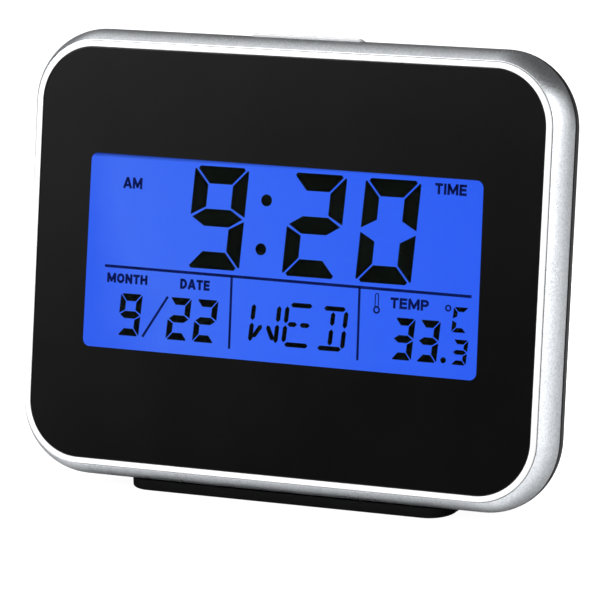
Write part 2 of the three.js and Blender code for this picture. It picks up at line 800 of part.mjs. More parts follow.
function makeBattery() {
  const wall = bayLength / 2 - seat;
  const inner = wall - contactThickness;
  const upper = bayMiddle + cellOffset;
  const lower = bayMiddle - cellOffset;
  const middle = wall - contactThickness / 2;
  const contact = (u, v, height) => block(
    contactThickness,
    height,
    cellCentre - contactWidth / 2,
    cellCentre + contactWidth / 2,
    u,
    v,
  );
  const tab = (v) => block(contactThickness, contactTabWidth, partFront, cellCentre, -middle, v);
  const bridgeHeight = contactWidth + 2 * cellOffset;
  return [
    piece('upper_cell', cell(-1, -inner + seat, upper), 0xb8862f, 0.35, 0.4),
    piece('lower_cell', cell(1, inner - seat, lower), 0xb8862f, 0.35, 0.4),
    piece('plus_contact', fuse(contact(-middle, upper, contactWidth), tab(upper)), 0xc9cbce, 0.25, 1),
    piece(
      'minus_contact',
      fuse(contact(-middle, lower, contactWidth), tab(lower), contactSpring(1, -middle, lower)),
      0xc9cbce,
      0.25,
      1,
    ),
    piece(
      'bridge_contact',
      fuse(contact(middle, bayMiddle, bridgeHeight), contactSpring(-1, middle, upper)),
      0xc9cbce,
      0.25,
      1,
    ),
  ];
}

function makeBatteryDoor() {
  const gripV = bayMiddle + doorHeight / 2 - doorGripHeight;
  const door = cut(
    plate(doorLength - 2 * slip, doorHeight - 2 * slip, doorCorner, doorFront, backDepth, 0, bayMiddle),
    plate(doorGripWidth, doorGripHeight, doorCorner, backDepth - doorGripDepth, backDepth + seat, 0, gripV),
  );
  return piece('battery_door', door, 0x17181a, 0.5);
}

/** Slots of the speaker grille, each as long as the round grille is wide at its height. */
function grilleSlots() {
  const radius = speakerRadius - grilleMargin;
  const rows = Math.floor(radius / grillePitch);
  const end = grilleSlot / 2;
  return Array.from({ length: 2 * rows + 1 }, (_, i) => {
    const rise = (i - rows) * grillePitch;
    const half = Math.sqrt(radius ** 2 - rise ** 2) - end;
    const v = speakerMiddle + rise;
    const ends = [half, -half].map((u) => rod(end, backInner - seat, backDepth + seat, u, v));
    return fuse(block(2 * half, grilleSlot, backInner - seat, backDepth + seat, 0, v), ...ends);
  });
}

function makeRearCase() {
  const outside = solidOf(loft(rearRings(0)));
  const rim = sideDepth + seat;
  const ahead = panelRing(crest - rearWall, sideDepth - seat);
  const hollow = loft([ahead, ...rearRings(-rearWall)]);
  const past = backDepth + seat;

  const tray = block(trayLength, trayHeight, trayFront, backDepth, 0, bayMiddle);
  const bay = block(bayLength, bayHeight, bayFloor, past, 0, bayMiddle);
  const doorSeat = plate(doorLength, doorHeight, doorCorner + slip, doorFront - seat, past, 0, bayMiddle);
  const tabU = -(bayLength / 2 - seat - contactThickness / 2);
  const tabSlots = [cellOffset, -cellOffset].map((offset) => block(
    contactThickness + 2 * slip,
    contactTabWidth + 2 * slip,
    trayFront - seat,
    bayFloor + seat,
    tabU,
    bayMiddle + offset,
  ));

  const rib = cut(
    rod(ribRadius, backInner - speakerRibHeight, backInner + rearWall / 2, 0, speakerMiddle),
    rod(ribRadius - speakerRib, backInner - speakerRibHeight - seat, backInner, 0, speakerMiddle),
  );
  const tubes = fourPlaces(caseScrewU, caseScrewV).map(([u, v]) => (
    rod(headHole + tubeWall, caseBossBack + seat, backDepth, u, v)
  ));
  const screwWays = fourPlaces(caseScrewU, caseScrewV).flatMap(([u, v]) => [
    rod(caseScrew.shank + threadGap, caseBossBack, caseSeatBack + seat, u, v),
    rod(headHole, caseSeatBack, past, u, v),
  ]);

  const intoBody = bodyPlace.clone().invert();
  const upright = (radius, low, high, x) => post(radius, low, high, x, footScrewY).applyMatrix4(intoBody);
  const bossTop = footSeatTop + footScrew.length + seat;
  const footBosses = footScrewPlaces.map((x) => upright(footScrew.boss, 0, bossTop, x));
  const footPilots = footScrewPlaces.map((x) => (
    upright(footScrew.shank + threadGap, 0, bossTop + seat, x)
  ));

  const keyHoles = fourPlaces(keyColumn, keyPitch / 2).map(([u, v]) => (
    rod(keyRadius + slip, backInner - seat, past, u, speakerMiddle + v)
  ));
  const alarmSlot = block(
    alarmWidth + 2 * slip,
    alarmHeight + alarmTravel + 2 * slip,
    backInner - seat,
    past,
    alarmColumn,
    bayMiddle,
  );
  const barSlot = block(
    barWidth + 2 * slip,
    panelHalfHeight,
    sideDepth - seat,
    barBack + slip,
    0,
    barFloor + panelHalfHeight / 2,
  );
  const front = block(4 * panelHalfWidth, 4 * panelHalfHeight, -rim, rim);

  const inside = shared(fuse(tray, rib, ...tubes, ...footBosses), outside);
  const shell = fuse(cut(outside, hollow), inside);
  return piece(
    'rear_case',
    cut(
      shell,
      front,
      bay,
      doorSeat,
      barSlot,
      alarmSlot,
      ...tabSlots,
      ...screwWays,
      ...footPilots,
      ...keyHoles,
      ...grilleSlots(),
    ),
    0x141517,
    0.5,
  );
}

function makeCaseScrews() {
  return fourPlaces(caseScrewU, caseScrewV).map(([u, v], i) => (
    piece(`case_screw_${i + 1}`, screw(caseScrew, caseSeatBack + seat, u, v), 0x8d9095, 0.35, 0.9)
  ));
}

/** Places of the four pads on the foot. */
function padPlaces() {
  const x = footWidth / 2 - padInset;
  const y = footDepth / 2 - padInset;
  return fourPlaces(x, y).map(([dx, dy]) => [dx, footMiddle + dy]);
}

/** Upright prism with a rounded plan that covers the foot, shrunk by an inset. */
function footPlan(inset, low, high) {
  const width = footWidth - 2 * inset;
  const depth = footDepth - 2 * inset;
  return plate(width, depth, footCorner - inset / 2, -high, -low)
    .rotateX(-Math.PI / 2)
    .translate(0, footMiddle, 0);
}

function makeFoot() {
  const ridge = footFront + footRidge;
  const side = [
    [footFront, padProud],
    [footTail, padProud],
    [footTail, footTailHeight],
    [ridge, footRidgeHeight],
    [footFront, footRidgeHeight],
  ];
  const clearance = loft([...bezelRings(seat), ...rearRings(seat)]).applyMatrix4(bodyPlace);
  const wedge = cut(
    shared(crossPrism(side, footWidth), footPlan(0, 0, footRidgeHeight + seat)),
    clearance,
  );
  const lowered = side.map(([depth, height]) => [depth, height - footWall]);
  const room = cut(
    shared(crossPrism(lowered, footWidth), footPlan(footWall, 0, footRidgeHeight)),
    loft([...bezelRings(seat + footWall), ...rearRings(seat + footWall)]).applyMatrix4(bodyPlace),
    ...footScrewPlaces.map((x) => post(footScrew.head + 2 * tubeWall, 0, footRidgeHeight, x, footScrewY)),
    ...padPlaces().map(([x, y]) => post(padRadius + slip + tubeWall, 0, footRidgeHeight, x, y)),
  );
  const screwWays = footScrewPlaces.flatMap((x) => [
    post(footScrew.shank + threadGap, 0, 2 * footRidgeHeight, x, footScrewY),
    post(footScrew.head + headGap, 0, footSeatTop, x, footScrewY),
  ]);
  const padWells = padPlaces().map(([x, y]) => post(padRadius + slip, 0, padThickness + seat, x, y));
  const screws = footScrewPlaces.map((x, i) => {
    const made = piece(`foot_screw_${i + 1}`, screw(footScrew, 0), 0x8d9095, 0.35, 0.9);
    made.rotation.x = -Math.PI / 2;
    made.position.set(x, footScrewY, footSeatTop - seat);
    return made;
  });
  const pads = padPlaces().map(([x, y], i) => (
    piece(`rubber_pad_${i + 1}`, post(padRadius, 0, padThickness, x, y), 0x2a2a2c, 0.9)
  ));
  return [piece('foot', cut(wedge, room, ...screwWays, ...padWells), 0x121214, 0.45), ...screws, ...pads];
}

const body = new THREE.Group();
body.rotation.x = -lean;
body.position.z = panelHeight;
body.add(
  makeBezel(),
  ...makeFront(),
  ...makeDisplay(),
  ...makeBoard(),
  ...makeKeys(),
  ...makeAlarmSwitch(),
  ...makeTalkBar(),
  ...makeSpeaker(),
  ...makeBattery(),
  makeBatteryDoor(),
  makeRearCase(),
  ...makeCaseScrews(),
);

const stand = new THREE.Group();
stand.add(...makeFoot());

const clock = new THREE.Group();
clock.add(body, stand);
const box = new THREE.Box3().setFromObject(clock, true);
body.position.y -= (box.min.y + box.max.y) / 2;
stand.position.y -= (box.min.y + box.max.y) / 2;

export default clock;
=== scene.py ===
"""Looks of a talking table clock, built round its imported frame.

The body leans back. In its own frame u runs to the right, d runs in from the front panel and v runs up along
the panel. Sizes are millimetres and angles are degrees, unless a name or a docstring says otherwise.
"""

import logging
import math
from dataclasses import dataclass, field
from enum import Enum
from typing import Iterable, Sequence

import bmesh
import bpy
from mathutils import Matrix, Vector


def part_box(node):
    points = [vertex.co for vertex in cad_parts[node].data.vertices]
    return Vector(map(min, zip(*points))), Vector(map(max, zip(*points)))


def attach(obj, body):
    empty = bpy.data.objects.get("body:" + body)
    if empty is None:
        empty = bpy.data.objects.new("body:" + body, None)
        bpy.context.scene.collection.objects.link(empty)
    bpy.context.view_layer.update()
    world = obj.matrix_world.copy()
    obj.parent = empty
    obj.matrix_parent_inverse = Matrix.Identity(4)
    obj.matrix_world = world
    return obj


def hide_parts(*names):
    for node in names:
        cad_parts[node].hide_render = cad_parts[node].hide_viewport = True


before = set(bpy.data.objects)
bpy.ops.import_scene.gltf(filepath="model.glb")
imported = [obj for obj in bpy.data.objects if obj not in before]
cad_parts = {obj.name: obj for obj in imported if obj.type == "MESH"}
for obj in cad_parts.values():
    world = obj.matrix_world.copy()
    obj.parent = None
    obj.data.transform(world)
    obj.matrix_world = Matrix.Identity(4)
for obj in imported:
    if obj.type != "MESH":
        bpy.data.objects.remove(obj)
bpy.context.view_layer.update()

LOG = logging.getLogger("talking_clock")
MM = 0.001
# Angle between faces from which an edge is sharp, and the same on pieces with finer or coarser rounds
SHARP, FINE_SHARP, BLUNT_SHARP = 35.0, 30.0, 40.0
# Points closer than this are welded, in metres
WELD = 1e-7
# Sides shorter than this have no direction
TINY = 1e-9
# Least cosine at a mitred corner, which limits how far it is drawn out
LEAST_MITRE = 0.3
# How strongly large faces draw the normals of a cut piece
FLAT_WEIGHT = 100
# How far a cutting shape runs past what it cuts
PAST = 1.0
# The rear keys, from the upper left to the lower right as seen from the front
KEYS = ("mode", "set", "up", "down")
# Span that most of a noise's values lie in
NOISE_SPAN = (0.3, 0.7)

Point2 = tuple[float, float]
Point3 = tuple[float, float, float]
Colour = tuple[float, float, float]
Outline = Sequence[Point2]
Piece = bpy.types.Object
Socket = bpy.types.NodeSocket


class Combine(Enum):
    """How one solid is put together with another."""

    ADD = "UNION"
    CUT = "DIFFERENCE"


class Axis(Enum):
    """Direction that a turned piece points along, as the matrix that turns it there from the depth."""

    DEPTH = Matrix.Identity(4)
    UP = Matrix.Rotation(math.pi / 2, 4, "X")
    DOWN = Matrix.Rotation(-math.pi / 2, 4, "X")
    RIGHT = Matrix.Rotation(-math.pi / 2, 4, "Z")
    LEFT = Matrix.Rotation(math.pi / 2, 4, "Z")


def rounded(size: Point2, corner: float, steps: int, place: Point2 = (0.0, 0.0)) -> list[Point2]:
    """Rounded rectangle.

    Args:
        size: Its width and height.
        corner: Its corner radius.
        steps: Steps in each corner.
        place: Its middle.

    Returns:
        Its points, anticlockwise.
    """
    points = []
    for quarter, (side, end) in enumerate(((1, 1), (-1, 1), (-1, -1), (1, -1))):
        centre = side * (size[0] / 2 - corner), end * (size[1] / 2 - corner)
        points += arc(centre, corner, 90 * quarter, 90 * (quarter + 1), steps)
    return moved(points, *place)


def arc(centre: Point2, radius: float, start: float, stop: float, steps: int) -> list[Point2]:
    """Part of a circle between two angles, with both its ends."""
    angles = [math.radians(start + (stop - start) * i / steps) for i in range(steps + 1)]
    return [(centre[0] + radius * math.cos(a), centre[1] + radius * math.sin(a)) for a in angles]


def disc(radius: float, steps: int) -> list[Point2]:
    """Outline of a disc round the origin."""
    return arc((0, 0), radius, 0, 360, steps)[:-1]


def rod(radius: float, low: float, high: float) -> list[Point2]:
    """Profile of a turned rod between two places on its axis."""
    return [(0, low), (radius, low), (radius, high), (0, high)]


def moved(outline: Iterable[Point2], u: float, v: float) -> list[Point2]:
    """An outline moved across and up."""
    return [(x + u, y + v) for x, y in outline]


def at_depth(outline: Iterable[Point2], depth: float) -> list[Point3]:
    """The points of an outline in (u, v) at a depth."""
    return [(u, depth, v) for u, v in outline]


def four_places(u: float, v: float) -> list[Point2]:
    """The four places at equal distances from the middle."""
    return [(-u, v), (u, v), (-u, -v), (u, -v)]


def mitre(first: Vector, second: Vector, distance: float, least: float = LEAST_MITRE) -> Vector:
    """How a corner between two directions moves when both its sides move left by a distance."""
    aside = Vector((-first.y - second.y, first.x + second.x)).normalized()
    return aside * (distance / max(least, aside.dot(Vector((-first.y, first.x)))))


def shrunk(outline: Outline, inset: float) -> list[Point2]:
    """An outline whose sides are all moved inwards.

    Args:
        outline: A closed outline, anticlockwise.
        inset: How far each side moves in.

    Returns:
        The points of the smaller outline, in the same order.
    """
    inner = []
    count = len(outline) if inset else 0
    for i in range(count):
        before, here, after = (Vector(outline[(i + k) % count]) for k in (-1, 0, 1))
        first, second = here - before, after - here
        first = first.normalized() if first.length > TINY else second.normalized()
        second = second.normalized() if second.length > TINY else first
        inner.append(tuple(here + mitre(first, second, inset)))
    return inner or list(outline)


@dataclass
class Shell:
    """Points in millimetres and the faces between them, gathered for one mesh."""

    points: list[Point3] = field(default_factory=list)
    faces: list[tuple[int, ...]] = field(default_factory=list)
    finishes: list[int] = field(default_factory=list)

    def ring(self, points: Iterable[Point3]) -> list[int]:
        """Adds a row of points.

        Args:
            points: The points.

        Returns:
            Their numbers.
        """
        start = len(self.points)
        self.points.extend(points)
        return list(range(start, len(self.points)))

    def face(self, corners: Sequence[int], finish: int = 0) -> None:
        """Adds one face."""
        self.faces.append(tuple(corners))
        self.finishes.append(finish)

    def bridge(self, near: Sequence[int], far: Sequence[int]) -> None:
        """Adds the band of faces between two closed rings of equal count."""
        for corners in zip(near, [*near[1:], near[0]], [*far[1:], far[0]], far):
            self.face(corners)

    def loft(self, rings: Sequence[Sequence[Point3]], looped: bool = False) -> "Shell":
        """Adds a closed skin through rings of equal count.

        Args:
            rings: The rings, in order.
            looped: True joins the last ring to the first, and False closes both ends with a face.

        Returns:
            This shell.
        """
        rows = [self.ring(points) for points in rings]
        for near, far in zip(rows, rows[1:]):
            self.bridge(near, far)
        if looped:
            self.bridge(rows[-1], rows[0])
        else:
            self.face(rows[0])
            self.face(rows[-1])
        return self

    def stack(self, outline: Outline, levels: Sequence[Point2], looped: bool = False) -> "Shell":
        """Adds a closed skin through an outline in (u, v), by its (inset, depth) at each level."""
        return self.loft([at_depth(shrunk(outline, inset), depth) for inset, depth in levels], looped)

    def prism(self, outline: Outline, front: float, back: float, edge: float = 0.0) -> "Shell":
        """Adds a plate between two depths, whose back edge may be chamfered."""
        return self.stack(outline, [(0, front), (0, back - edge), *([(edge, back)] if edge else [])])

    def turned(
        self,
        profile: Outline,
        centre: Point3 = (0, 0, 0),
        axis: Axis = Axis.DEPTH,
        steps: int = 48,
        looped: bool = False,
    ) -> "Shell":
        """Adds a turned skin.

        Args:
            profile: Its (radius, distance along the axis) pairs; a radius of 0 closes an end to a point.
            centre: Where its axis starts.
            axis: Direction of its axis.
            steps: Steps round it.
            looped: True joins the last pair to the first.

        Returns:
            This shell.
        """
        place = Matrix.Translation(centre) @ axis.value
        angles = [2 * math.pi * i / steps for i in range(steps)]
        rows = []
        for radius, along in profile:
            spots = angles if radius > 0 else angles[:1]
            circle = [Vector((radius * math.cos(a), along, radius * math.sin(a))) for a in spots]
            rows.append(self.ring(tuple(place @ point) for point in circle))
        for near, far in [*zip(rows, rows[1:]), *([(rows[-1], rows[0])] if looped else [])]:
            if len(near) == len(far):
                self.bridge(near, far)
                continue
            tip, round_row = (near[0], far) if len(near) == 1 else (far[0], near)
            for i in range(steps):
                self.face((tip, round_row[i], round_row[(i + 1) % steps]))
        for row in () if looped else (rows[0], rows[-1]):
            if len(row) > 1:
                self.face(row)
        return self

    def tube(self, path: Sequence[Vector], radius: float, sides: int = 10) -> "Shell":
        """Adds a round bar along a path.

        Args:
            path: The points that it follows.
            radius: Its radius.
            sides: Sides of its section.

        Returns:
            This shell.
        """
        rings = []
        across = Vector((0, 0, 1))
        turns = [2 * math.pi * k / sides for k in range(sides)]
        for i, point in enumerate(path):
            along = (path[min(i + 1, len(path) - 1)] - path[max(i - 1, 0)]).normalized()
            across = (across - along * across.dot(along)).normalized()
            third = along.cross(across)
            spokes = [(across * math.cos(turn) + third * math.sin(turn)) * radius for turn in turns]
            rings.append([tuple(point + spoke) for spoke in spokes])
        return self.loft(rings)

    def make(
        self,
        name: str,
        place: Matrix,
        finishes: Sequence[bpy.types.Material],
        sharp: float = SHARP,
    ) -> Piece:
        """Makes a Blender object of what was gathered.

        Args:
            name: The piece's name.
            place: Where its own frame lies.
            finishes: Its materials, in the order of the faces' finish numbers.
            sharp: Angle between faces from which an edge is sharp.

        Returns:
            The object, smooth but for its sharp edges.
        """
        mesh = bpy.data.meshes.new(name)
        mesh.from_pydata([Vector(point) * MM for point in self.points], [], self.faces)
        mesh.polygons.foreach_set("material_index", self.finishes)
        for finish in finishes:
            mesh.materials.append(finish)
        tidy = bmesh.new()
        tidy.from_mesh(mesh)
        bmesh.ops.remove_doubles(tidy, verts=tidy.verts, dist=WELD)
        bmesh.ops.recalc_face_normals(tidy, faces=tidy.faces)
        tidy.to_mesh(mesh)
        tidy.free()
        made = bpy.data.objects.new(name, mesh)
        bpy.context.scene.collection.objects.link(made)
        made.matrix_world = place
        smooth(made, sharp)
        return made


def smooth(piece: Piece, sharp: float) -> None:
    """Shades a piece smooth, with sharp edges from an angle on."""
    piece.data.shade_smooth()
    piece.data.set_sharp_from_angle(angle=math.radians(sharp))


def settle(piece: Piece) -> None:
    """Applies a piece's modifiers to its mesh.

    Args:
        piece: The piece.
    """
    bpy.context.view_layer.update()
    shown = piece.evaluated_get(bpy.context.evaluated_depsgraph_get())
    old = piece.data
    piece.data = bpy.data.meshes.new_from_object(shown)
    piece.data.name = piece.name
    piece.modifiers.clear()
    bpy.data.meshes.remove(old)


def combine(piece: Piece, tool: Shell | Piece, way: Combine) -> Piece:
    """Adds a tool to a piece, or cuts it out.

    Args:
        piece: The piece, which is changed.
        tool: Closed skins in the piece's own frame, or an object, which is used up.
        way: How they are combined.

    Returns:
        The piece.
    """
    if isinstance(tool, Shell):
        tool = tool.make("tool", piece.matrix_world, list(piece.data.materials))
    modifier = piece.modifiers.new("combine", "BOOLEAN")
    modifier.operation = way.value
    modifier.object = tool
    modifier.solver = "EXACT"
    modifier.use_self = True
    settle(piece)
    spent = tool.data
    bpy.data.objects.remove(tool)
    bpy.data.meshes.remove(spent)
    return piece


def even_normals(piece: Piece, sharp: float = SHARP) -> None:
    """Shades a cut piece so that its flat faces stay flat beside their small rounds.

    Args:
        piece: The piece.
        sharp: Angle between faces from which an edge is sharp.
    """
    smooth(piece, sharp)
    modifier = piece.modifiers.new("normals", "WEIGHTED_NORMAL")
    modifier.keep_sharp = True
    modifier.weight = FLAT_WEIGHT
    settle(piece)


@dataclass(frozen=True)
class BodyFrame:
    """Frame of the leaning body: where its panel's middle lies and how it leans."""

    lean: float = 12.0
    lens_thickness: float = 1.7

    @property
    def turn(self) -> Matrix:
        """Rotation from the body's frame to the clock's."""
        return Matrix.Rotation(-math.radians(self.lean), 4, "X")

    @property
    def origin(self) -> Vector:
        """Middle of the panel's face, in metres."""
        low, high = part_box("front_lens")
        return (low + high) / 2 - self.turn @ Vector((0, self.lens_thickness / 2 * MM, 0))

    @property
    def place(self) -> Matrix:
        """Matrix from the body's frame to the clock's, in metres."""
        return Matrix.Translation(self.origin) @ self.turn


@dataclass(frozen=True)
class CaseShape:
    """Outlines and places that the sub-assemblies share."""

    half_width: float = 56.0
    half_height: float = 41.95
    corner: float = 11.5
    lip_width: float = 1.15
    lip_rise: float = 0.25
    side_flare: float = 2.5
    side_depth: float = 6.0
    rim_radius: float = 8.4
    taper: float = 28.0
    back_depth: float = 26.9
    back_fillet: float = 3.0
    back_corner: float = 7.0
    corner_steps: int = 22
    bar_floor: float = 37.268
    speaker_v: float = 11.702
    key_place: Point2 = (29.3, 6.5)
    screw_place: Point2 = (42.548, 28.65)
    bay_v: float = -18.548

    @property
    def crest(self) -> float:
        """Reach of the widest line past the panel's edge."""
        return self.lip_width + self.side_flare

    @property
    def side_radius(self) -> float:
        """Radius of the bezel's rounded side."""
        return (self.side_flare**2 + self.side_depth**2) / (2 * self.side_flare)

    @property
    def side_start(self) -> float:
        """Angle on the bezel's rounded side at which the lip meets it."""
        return math.degrees(math.asin(self.side_depth / self.side_radius))

    @property
    def rim_end(self) -> Point2:
        """Reach past the panel's edge, and depth, at which the rim runs into the straight taper."""
        angle, radius = math.radians(self.taper), self.rim_radius
        return self.crest - radius * (1 - math.cos(angle)), self.side_depth + radius * math.sin(angle)

    @property
    def back_reach(self) -> float:
        """Reach of the flat back past the panel's edge.

        Returns:
            The reach, which is negative.
        """
        angle = math.radians(self.taper)
        reach, depth = self.rim_end
        run = self.back_depth - self.back_fillet - depth
        return reach - (self.back_fillet + math.sin(angle) * run) / math.cos(angle)

    def rear_reach(self, depth: float) -> float:
        """Reach of the rear case past the panel's edge.

        Args:
            depth: A depth on its rim or its taper.

        Returns:
            The reach there.
        """
        reach, end = self.rim_end
        if depth < end:
            run = depth - self.side_depth
            return self.crest - self.rim_radius + math.sqrt(self.rim_radius**2 - run**2)
        return reach - (depth - end) * math.tan(math.radians(self.taper))

    def ring(self, reach: float, depth: float, corner: float | None = None) -> list[Point3]:
        """Ring round the panel, pushed out past its edge; its corners follow the panel's unless they are given."""
        size, follow = (2 * (self.half_width + reach), 2 * (self.half_height + reach)), self.corner + reach
        return at_depth(rounded(size, follow if corner is None else corner, self.corner_steps), depth)

    def side_rings(self, offset: float, steps: int) -> list[list[Point3]]:
        """Rings of the bezel's outside, from the lip to its widest line.

        Args:
            offset: How far they are grown.
            steps: Steps in the rounded side.

        Returns:
            The rings.
        """
        centre = (self.crest - self.side_radius, self.side_depth)
        side = arc(centre, self.side_radius + offset, -self.side_start, 0, steps)
        lip = (self.lip_width + offset, -self.lip_rise - offset)
        return [self.ring(reach, depth) for reach, depth in (lip, *side)]

    def rear_rings(self, offset: float, steps: int, start: float = 0.0) -> list[list[Point3]]:
        """Rings of the rear case's outside, from its rim to its flat back.

        Args:
            offset: How far they are grown.
            steps: Steps in the rim and in the back's fillet.
            start: Angle on the rim of the first ring.

        Returns:
            The rings.
        """
        rim_corner = self.corner + self.crest
        spans = [
            (self.crest - self.rim_radius, self.side_depth, self.rim_radius, start, self.taper),
            (self.back_reach, self.back_depth - self.back_fillet, self.back_fillet, self.taper, 90.0),
        ]
        rings = []
        for centre_reach, centre_depth, radius, first, last in spans:
            for i in range(steps + 1):
                angle = math.radians(first + (last - first) * i / steps)
                bare = centre_reach + radius * math.cos(angle)
                share = (bare - self.back_reach) / (self.crest - self.back_reach)
                growth = offset * math.cos(angle)
                corner = self.back_corner + (rim_corner - self.back_corner) * share + growth
                depth = centre_depth + (radius + offset) * math.sin(angle)
                rings.append(self.ring(bare + growth, depth, corner))
        return rings


class Ease(Enum):
    """How a value runs from one end of a span to the other."""

    EVEN = "LINEAR"
    SOFT = "SMOOTHSTEP"


class NodeTree:
    """A node tree, with short calls that add nodes and feed them."""

    def __init__(self, tree: bpy.types.NodeTree) -> None:
        """Starts from an empty tree."""
        self.tree = tree
        self.tree.nodes.clear()

    def feed(self, socket: Socket, value: object) -> None:
        """Feeds an input.

        Args:
            socket: The input.
            value: Another node's output, or the value that the input itself takes.
        """
        if isinstance(value, Socket):
            self.tree.links.new(value, socket)
        else:
            socket.default_value = (*value, 1.0) if socket.type == "RGBA" else value

    def node(self, kind: str, inputs: dict[str | int, object], **settings: object) -> bpy.types.Node:
        """Adds a node.

        Args:
            kind: Its type.
            inputs: What its inputs take, by name or number.
            settings: Its properties.

        Returns:
            The node.
        """
        node = self.tree.nodes.new(kind)
        for key, value in settings.items():
            setattr(node, key, value)
        for key, value in inputs.items():
            self.feed(node.inputs[key], value)
        return node

    def value(self, kind: str, inputs: dict[str | int, object], **settings: object) -> Socket:
        """Adds a node and returns its first output."""
        return self.node(kind, inputs, **settings).outputs[0]

    def parts(self, place: Socket) -> bpy.types.NodeOutputs:
        """The X, Y and Z of a place."""
        return self.node("ShaderNodeSeparateXYZ", {0: place}).outputs

    def ease(self, value: Socket, span: Point2, ends: Point2 = (0.0, 1.0), way: Ease = Ease.EVEN) -> Socket:
        """Brings a value from one span to another, held between its ends."""
        limits = zip(("From Min", "From Max", "To Min", "To Max"), (*span, *ends))
        return self.value("ShaderNodeMapRange", {"Value": value, **dict(limits)}, interpolation_type=way.value)


class Graph(NodeTree):
    """Node tree of one material."""

    def __init__(self, name: str) -> None:
        """Starts a material with one shader and its output.

        Args:
            name: The material's name.
        """
        self.material = bpy.data.materials.new(name)
        self.material.use_nodes = True
        super().__init__(self.material.node_tree)
        self.shader = self.node("ShaderNodeBsdfPrincipled", {})
        self.node("ShaderNodeOutputMaterial", {"Surface": self.shader.outputs[0]})
        self.place = self.node("ShaderNodeTexCoord", {}).outputs["Object"]

    def set(self, **values: object) -> None:
        """Feeds the shader's own inputs; an underscore in a name stands for a space."""
        for key, value in values.items():
            self.feed(self.shader.inputs[key.replace("_", " ")], value)

    def noise(self, size: float, detail: float = 2.0, stretch: Point3 = (1, 1, 1)) -> Socket:
        """Soft noise around 0.5, by the size of its blotches, its finer layers and its scale along each axis."""
        place = self.value("ShaderNodeMapping", {"Vector": self.place, "Scale": stretch})
        return self.value("ShaderNodeTexNoise", {"Vector": place, "Scale": 1 / (size * MM), "Detail": detail})

    def cells(self, size: float) -> Socket:
        """Random cells of a size, each with a grey of its own."""
        cells = self.node("ShaderNodeTexVoronoi", {"Vector": self.place, "Scale": 1 / (size * MM)})
        return self.value("ShaderNodeRGBToBW", {0: cells.outputs["Color"]})

    def ramp(self, value: Socket, stops: Sequence[tuple[float, Colour]]) -> Socket:
        """Colours along a value.

        Args:
            value: The value.
            stops: Its places and their colours.

        Returns:
            The colour.
        """
        node = self.node("ShaderNodeValToRGB", {0: value})
        points = node.color_ramp.elements
        while len(points) < len(stops):
            points.new(0.5)
        for point, (at, colour) in zip(points, stops):
            point.position = at
            point.color = (*colour, 1.0)
        return node.outputs[0]

    def span(self, value: Socket, low: float, high: float) -> Socket:
        """A noise value spread between two numbers."""
        return self.ease(value, NOISE_SPAN, (low, high))

    def sum(self, first: Socket, second: Socket, share: float) -> Socket:
        """The first value with a share of the second added."""
        return self.value("ShaderNodeMath", {0: second, 1: share, 2: first}, operation="MULTIPLY_ADD")

    def bump(self, height: Socket, depth: float) -> Socket:
        """Normal of a rough surface, from a height of 0 to 1 and what 1 stands for."""
        return self.value("ShaderNodeBump", {"Height": height, "Distance": depth * MM, "Strength": 1.0})


@dataclass(frozen=True)
class Finish:
    """A surface finish, made once as a node material."""

    name: str

    def dress(self) -> None:
        """Wires the finish into a new material."""
        raise NotImplementedError

    @property
    def material(self) -> bpy.types.Material:
        """The material, made on first use.

        Returns:
            The material.
        """
        if self.name not in bpy.data.materials:
            self.dress()
        return bpy.data.materials[self.name]


@dataclass(frozen=True)
class MouldedPlastic(Finish):
    """Moulded plastic or rubber with a fine grain and slow changes of tone and gloss."""

    light: Colour = (0.02, 0.02, 0.022)
    dark: Colour = (0.012, 0.012, 0.013)
    gloss: Point2 = (0.35, 0.5)
    grain: float = 0.25
    grain_depth: float = 0.012
    blotch: float = 12.0
    sheen: float = 0.5

    def dress(self) -> None:
        """Wires the plastic."""
        graph = Graph(self.name)
        tone = graph.noise(self.blotch, detail=3)
        grain = graph.noise(self.grain, detail=2)
        graph.set(
            Base_Color=graph.ramp(graph.sum(tone, grain, share=0.12), [(0.35, self.dark), (0.75, self.light)]),
            Roughness=graph.span(graph.sum(tone, grain, share=0.2), *self.gloss),
            Specular_IOR_Level=self.sheen,
            Normal=graph.bump(grain, self.grain_depth),
        )


@dataclass(frozen=True)
class MetallicPaint(Finish):
    """Silver paint with fine bright flakes under a thin clear coat."""

    light: Colour = (0.9, 0.93, 0.965)
    dark: Colour = (0.69, 0.718, 0.752)
    metallic: float = 0.96
    gloss: Point2 = (0.26, 0.33)
    flake: float = 0.27
    flake_depth: float = 0.016
    cloud: float = 9.0
    coat: float = 0.1
    coat_gloss: float = 0.12

    def dress(self) -> None:
        """Wires the paint."""
        graph = Graph(self.name)
        flakes = graph.cells(self.flake)
        cloud = graph.noise(self.cloud, detail=2)
        graph.set(
            Base_Color=graph.ramp(graph.sum(flakes, cloud, share=0.15), [(0.1, self.dark), (0.8, self.light)]),
            Metallic=self.metallic,
            Roughness=graph.span(cloud, *self.gloss),
            Normal=graph.bump(flakes, self.flake_depth),
            Coat_Weight=self.coat,
            Coat_Roughness=self.coat_gloss,
        )


@dataclass(frozen=True)
class GlossPanel(Finish):
    """Gloss black panel with the faint haze that handling leaves."""

    light: Colour = (0.0022, 0.002, 0.0021)
    dark: Colour = (0.0008, 0.0007, 0.0008)
    gloss: Point2 = (0.015, 0.05)
    haze: float = 18.0
    hair: float = 0.6
    hair_stretch: Point3 = (1, 1, 0.04)
    ior: float = 1.56

    def dress(self) -> None:
        """Wires the panel."""
        graph = Graph(self.name)
        haze = graph.noise(self.haze, detail=4)
        hair = graph.noise(self.hair, detail=2, stretch=self.hair_stretch)
        graph.set(
            Base_Color=graph.ramp(haze, [(0.3, self.dark), (0.7, self.light)]),
            Roughness=graph.span(graph.sum(haze, hair, share=0.1), *self.gloss),
            IOR=self.ior,
        )


